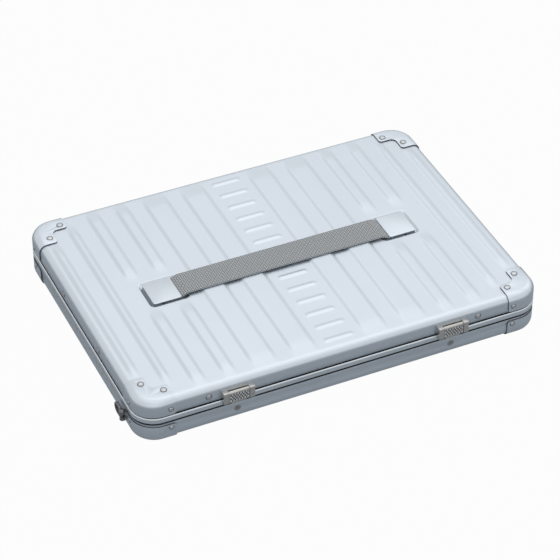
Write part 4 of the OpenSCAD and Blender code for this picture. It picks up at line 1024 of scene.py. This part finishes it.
STRAP_BEND, STRAP_LOW = 95.5, 106.0     # the webbing goes down to its plates between these
STRAP_STEP = 1.0
STRAP_ACROSS, STRAP_ROUND = 18, 8       # steps across the webbing, and round a selvedge
STRAP_LEAN = 0.6                        # how far its section leans with its slope
STRAP_MEET = 43.0                       # where its three lengths meet
MIDDLE_BLEND, END_BLEND = 26.0, (76.0, 96.0)
STRAP_SHARP = 60


def strap_underside(x):
    """Height of the webbing's underside along the strap."""
    return STRAP_Z + (STRAP_LOW_Z - STRAP_Z) * smooth_step((abs(x) - STRAP_BEND) / (STRAP_LOW - STRAP_BEND))


def strap_outline():
    """Cross-section of the webbing as (along Y, up) points, anticlockwise, with rounded selvedges."""
    r = STRAP_T / 2
    flat = STRAP_W / 2 - r
    across = [-flat + 2 * flat * k / STRAP_ACROSS for k in range(STRAP_ACROSS + 1)]
    turns = [math.radians(180 * k / STRAP_ROUND) for k in range(1, STRAP_ROUND)]
    outline = [(y, 0.0) for y in across] + [(flat + r * math.sin(a), r - r * math.cos(a)) for a in turns]
    outline += [(y, STRAP_T) for y in reversed(across)]
    return outline + [(-flat - r * math.sin(a), r + r * math.cos(a)) for a in turns]


def strap_mesh(name, first, last):
    """One length of the flat strap from x = first to x = last, with its webbing map in metres."""
    steps = round((last - first) / STRAP_STEP)
    xs = [first + (last - first) * k / steps for k in range(steps + 1)]
    ring = strap_outline()
    count = len(ring)
    around = [0.0]
    for a, b in zip(ring, ring[1:] + ring[:1]):
        around.append(around[-1] + math.dist(a, b))
    points, faces, places = [], [], []
    for x in xs:
        slope = strap_underside(x + 0.5) - strap_underside(x - 0.5)
        points += [(x - slope * up * STRAP_LEAN, STRAP_Y + y, strap_underside(x) + up) for y, up in ring]
    for i in range(steps):
        for k in range(count):
            after = (k + 1) % count
            faces.append((i * count + k, (i + 1) * count + k, (i + 1) * count + after, i * count + after))
            places += [(xs[i], around[k]), (xs[i + 1], around[k]), (xs[i + 1], around[k + 1]),
                       (xs[i], around[k + 1])]
    faces += [tuple(range(count)), tuple(reversed(range(steps * count, (steps + 1) * count)))]
    places += ring + ring[::-1]
    mesh = plain_mesh(name, points, faces)
    layer = mesh.uv_layers.new(name="webbing_map")
    layer.data.foreach_set("uv", np.array(places, np.float32).ravel() * MM)
    return mesh


def make_strap(finish):
    """Three lengths of the webbing, each laid in place on its own, without a body."""
    start, end = END_BLEND
    # name, from x, to x, the two bodies, the stretch between them, the nodes it stands for
    lengths = [
        ("strap_left_length", -STRAP_END, -STRAP_MEET, "lid", "strap_left", -end, -start,
         ["strap_fixed_end", "strap_left_half"]),
        ("strap_middle_length", -STRAP_MEET, STRAP_MEET, "strap_left", "strap_right", -MIDDLE_BLEND,
         MIDDLE_BLEND, []),
        ("strap_right_length", STRAP_MEET, STRAP_END, "strap_right", "strap_end", start, end,
         ["strap_right_half", "strap_sliding_end"]),
    ]
    for name, first, last, body, other_body, blend_from, blend_to, replaced in lengths:
        obj = link_object(name, strap_mesh(name, first, last))
        finish_piece(obj, None, finish["web"], replaced, STRAP_SHARP)
        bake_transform(obj)


# ---------- latch flaps with their fine check, in millimetres ----------

CHECK_PITCH = 1.28                      # from a peak to the hollow beside it
CHECK_ROW = 1.8                         # from one row of peaks to the next
CHECK_RISE, CHECK_HOLLOW = 0.5, 0.03    # how far peaks and hollows stand out of the plate's rim
CHECK_MARGIN = 0.35                     # from the flap's sides
CHECK_TOP, CHECK_LOW = 1.5, 11.0        # under the flap's top
CHECK_RIM_IN, CHECK_BACK = 0.02, 0.3    # the rim and the back lie this far inside the flap's face
# the rim's mark gives it mostly the painted shade of the hollows
RIM_WEAR_AND_SHADE = 0.3
CHECK_SHARP = 20


def check_plate(low, high):
    """Points, faces and marks of a plate of small pyramids on a flap: 1 on tips, partly wear and partly
    painted highlight, 0 in hollows painted as shade.
    """
    x0, x1 = low[0] + CHECK_MARGIN, high[0] - CHECK_MARGIN
    z0, z1 = high[2] - CHECK_LOW, high[2] - CHECK_TOP
    columns, rows = int((x1 - x0) / CHECK_PITCH) // 2 * 2, int((z1 - z0) / CHECK_ROW)
    points, faces, wear_and_shade = [], [], []
    for j in range(rows + 1):
        for i in range(columns + 1):
            if i in (0, columns) or j in (0, rows):
                rise, mark = 0.0, RIM_WEAR_AND_SHADE
            elif (i + j) % 2 == 0:
                rise, mark = CHECK_RISE, 1.0
            else:
                rise, mark = CHECK_HOLLOW, 0.0
            wear_and_shade.append(mark)
            points.append((x0 + (x1 - x0) * i / columns, low[1] + CHECK_RIM_IN - rise,
                           z0 + (z1 - z0) * j / rows))
    width = columns + 1
    for j in range(rows):
        for i in range(columns):
            a, d = j * width + i, (j + 1) * width + i
            b, c = a + 1, d + 1
            faces += [(a, b, d), (b, c, d)] if (i + j) % 2 == 0 else [(a, b, c), (a, c, d)]
    back = len(points)
    points += [(x, low[1] + CHECK_BACK, z) for x, z in ((x0, z0), (x1, z0), (x1, z1), (x0, z1))]
    wear_and_shade += [RIM_WEAR_AND_SHADE] * 4
    sides = [range(width), range(columns, (rows + 1) * width, width),
             range(rows * width + columns, rows * width - 1, -1), range(rows * width, -1, -width)]
    for k, side in enumerate(sides):
        faces.append((*reversed(side), back + k, back + (k + 1) % 4))
    faces.append((back, back + 3, back + 2, back + 1))
    return points, faces, wear_and_shade


def make_flap_checks(finish):
    for name, body in (("latch_flap_left", "left_latch_flap"), ("latch_flap_right", "right_latch_flap")):
        points, faces, wear_and_shade = check_plate(*(np.array(corner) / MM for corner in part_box(name)))
        obj = link_object(name + "_check", plain_mesh(name + "_check", points, faces))
        finish_piece(obj, body, finish["check"], [], CHECK_SHARP)
        tip = obj.data.attributes.new("tip", "FLOAT", "POINT")
        tip.data.foreach_set("value", wear_and_shade)


def main():
    make_camera()
    make_studio()
    finish = make_finishes()
    make_lid_sheet(finish)
    make_solid_pieces(finish)
    make_rivets(finish)
    make_strap(finish)
    make_flap_checks(finish)
    for tree in [material.node_tree for material in bpy.data.materials if material.use_nodes]:
        lay_out(tree)
    for tree in [scene.world.node_tree, *bpy.data.node_groups]:
        lay_out(tree)


main()
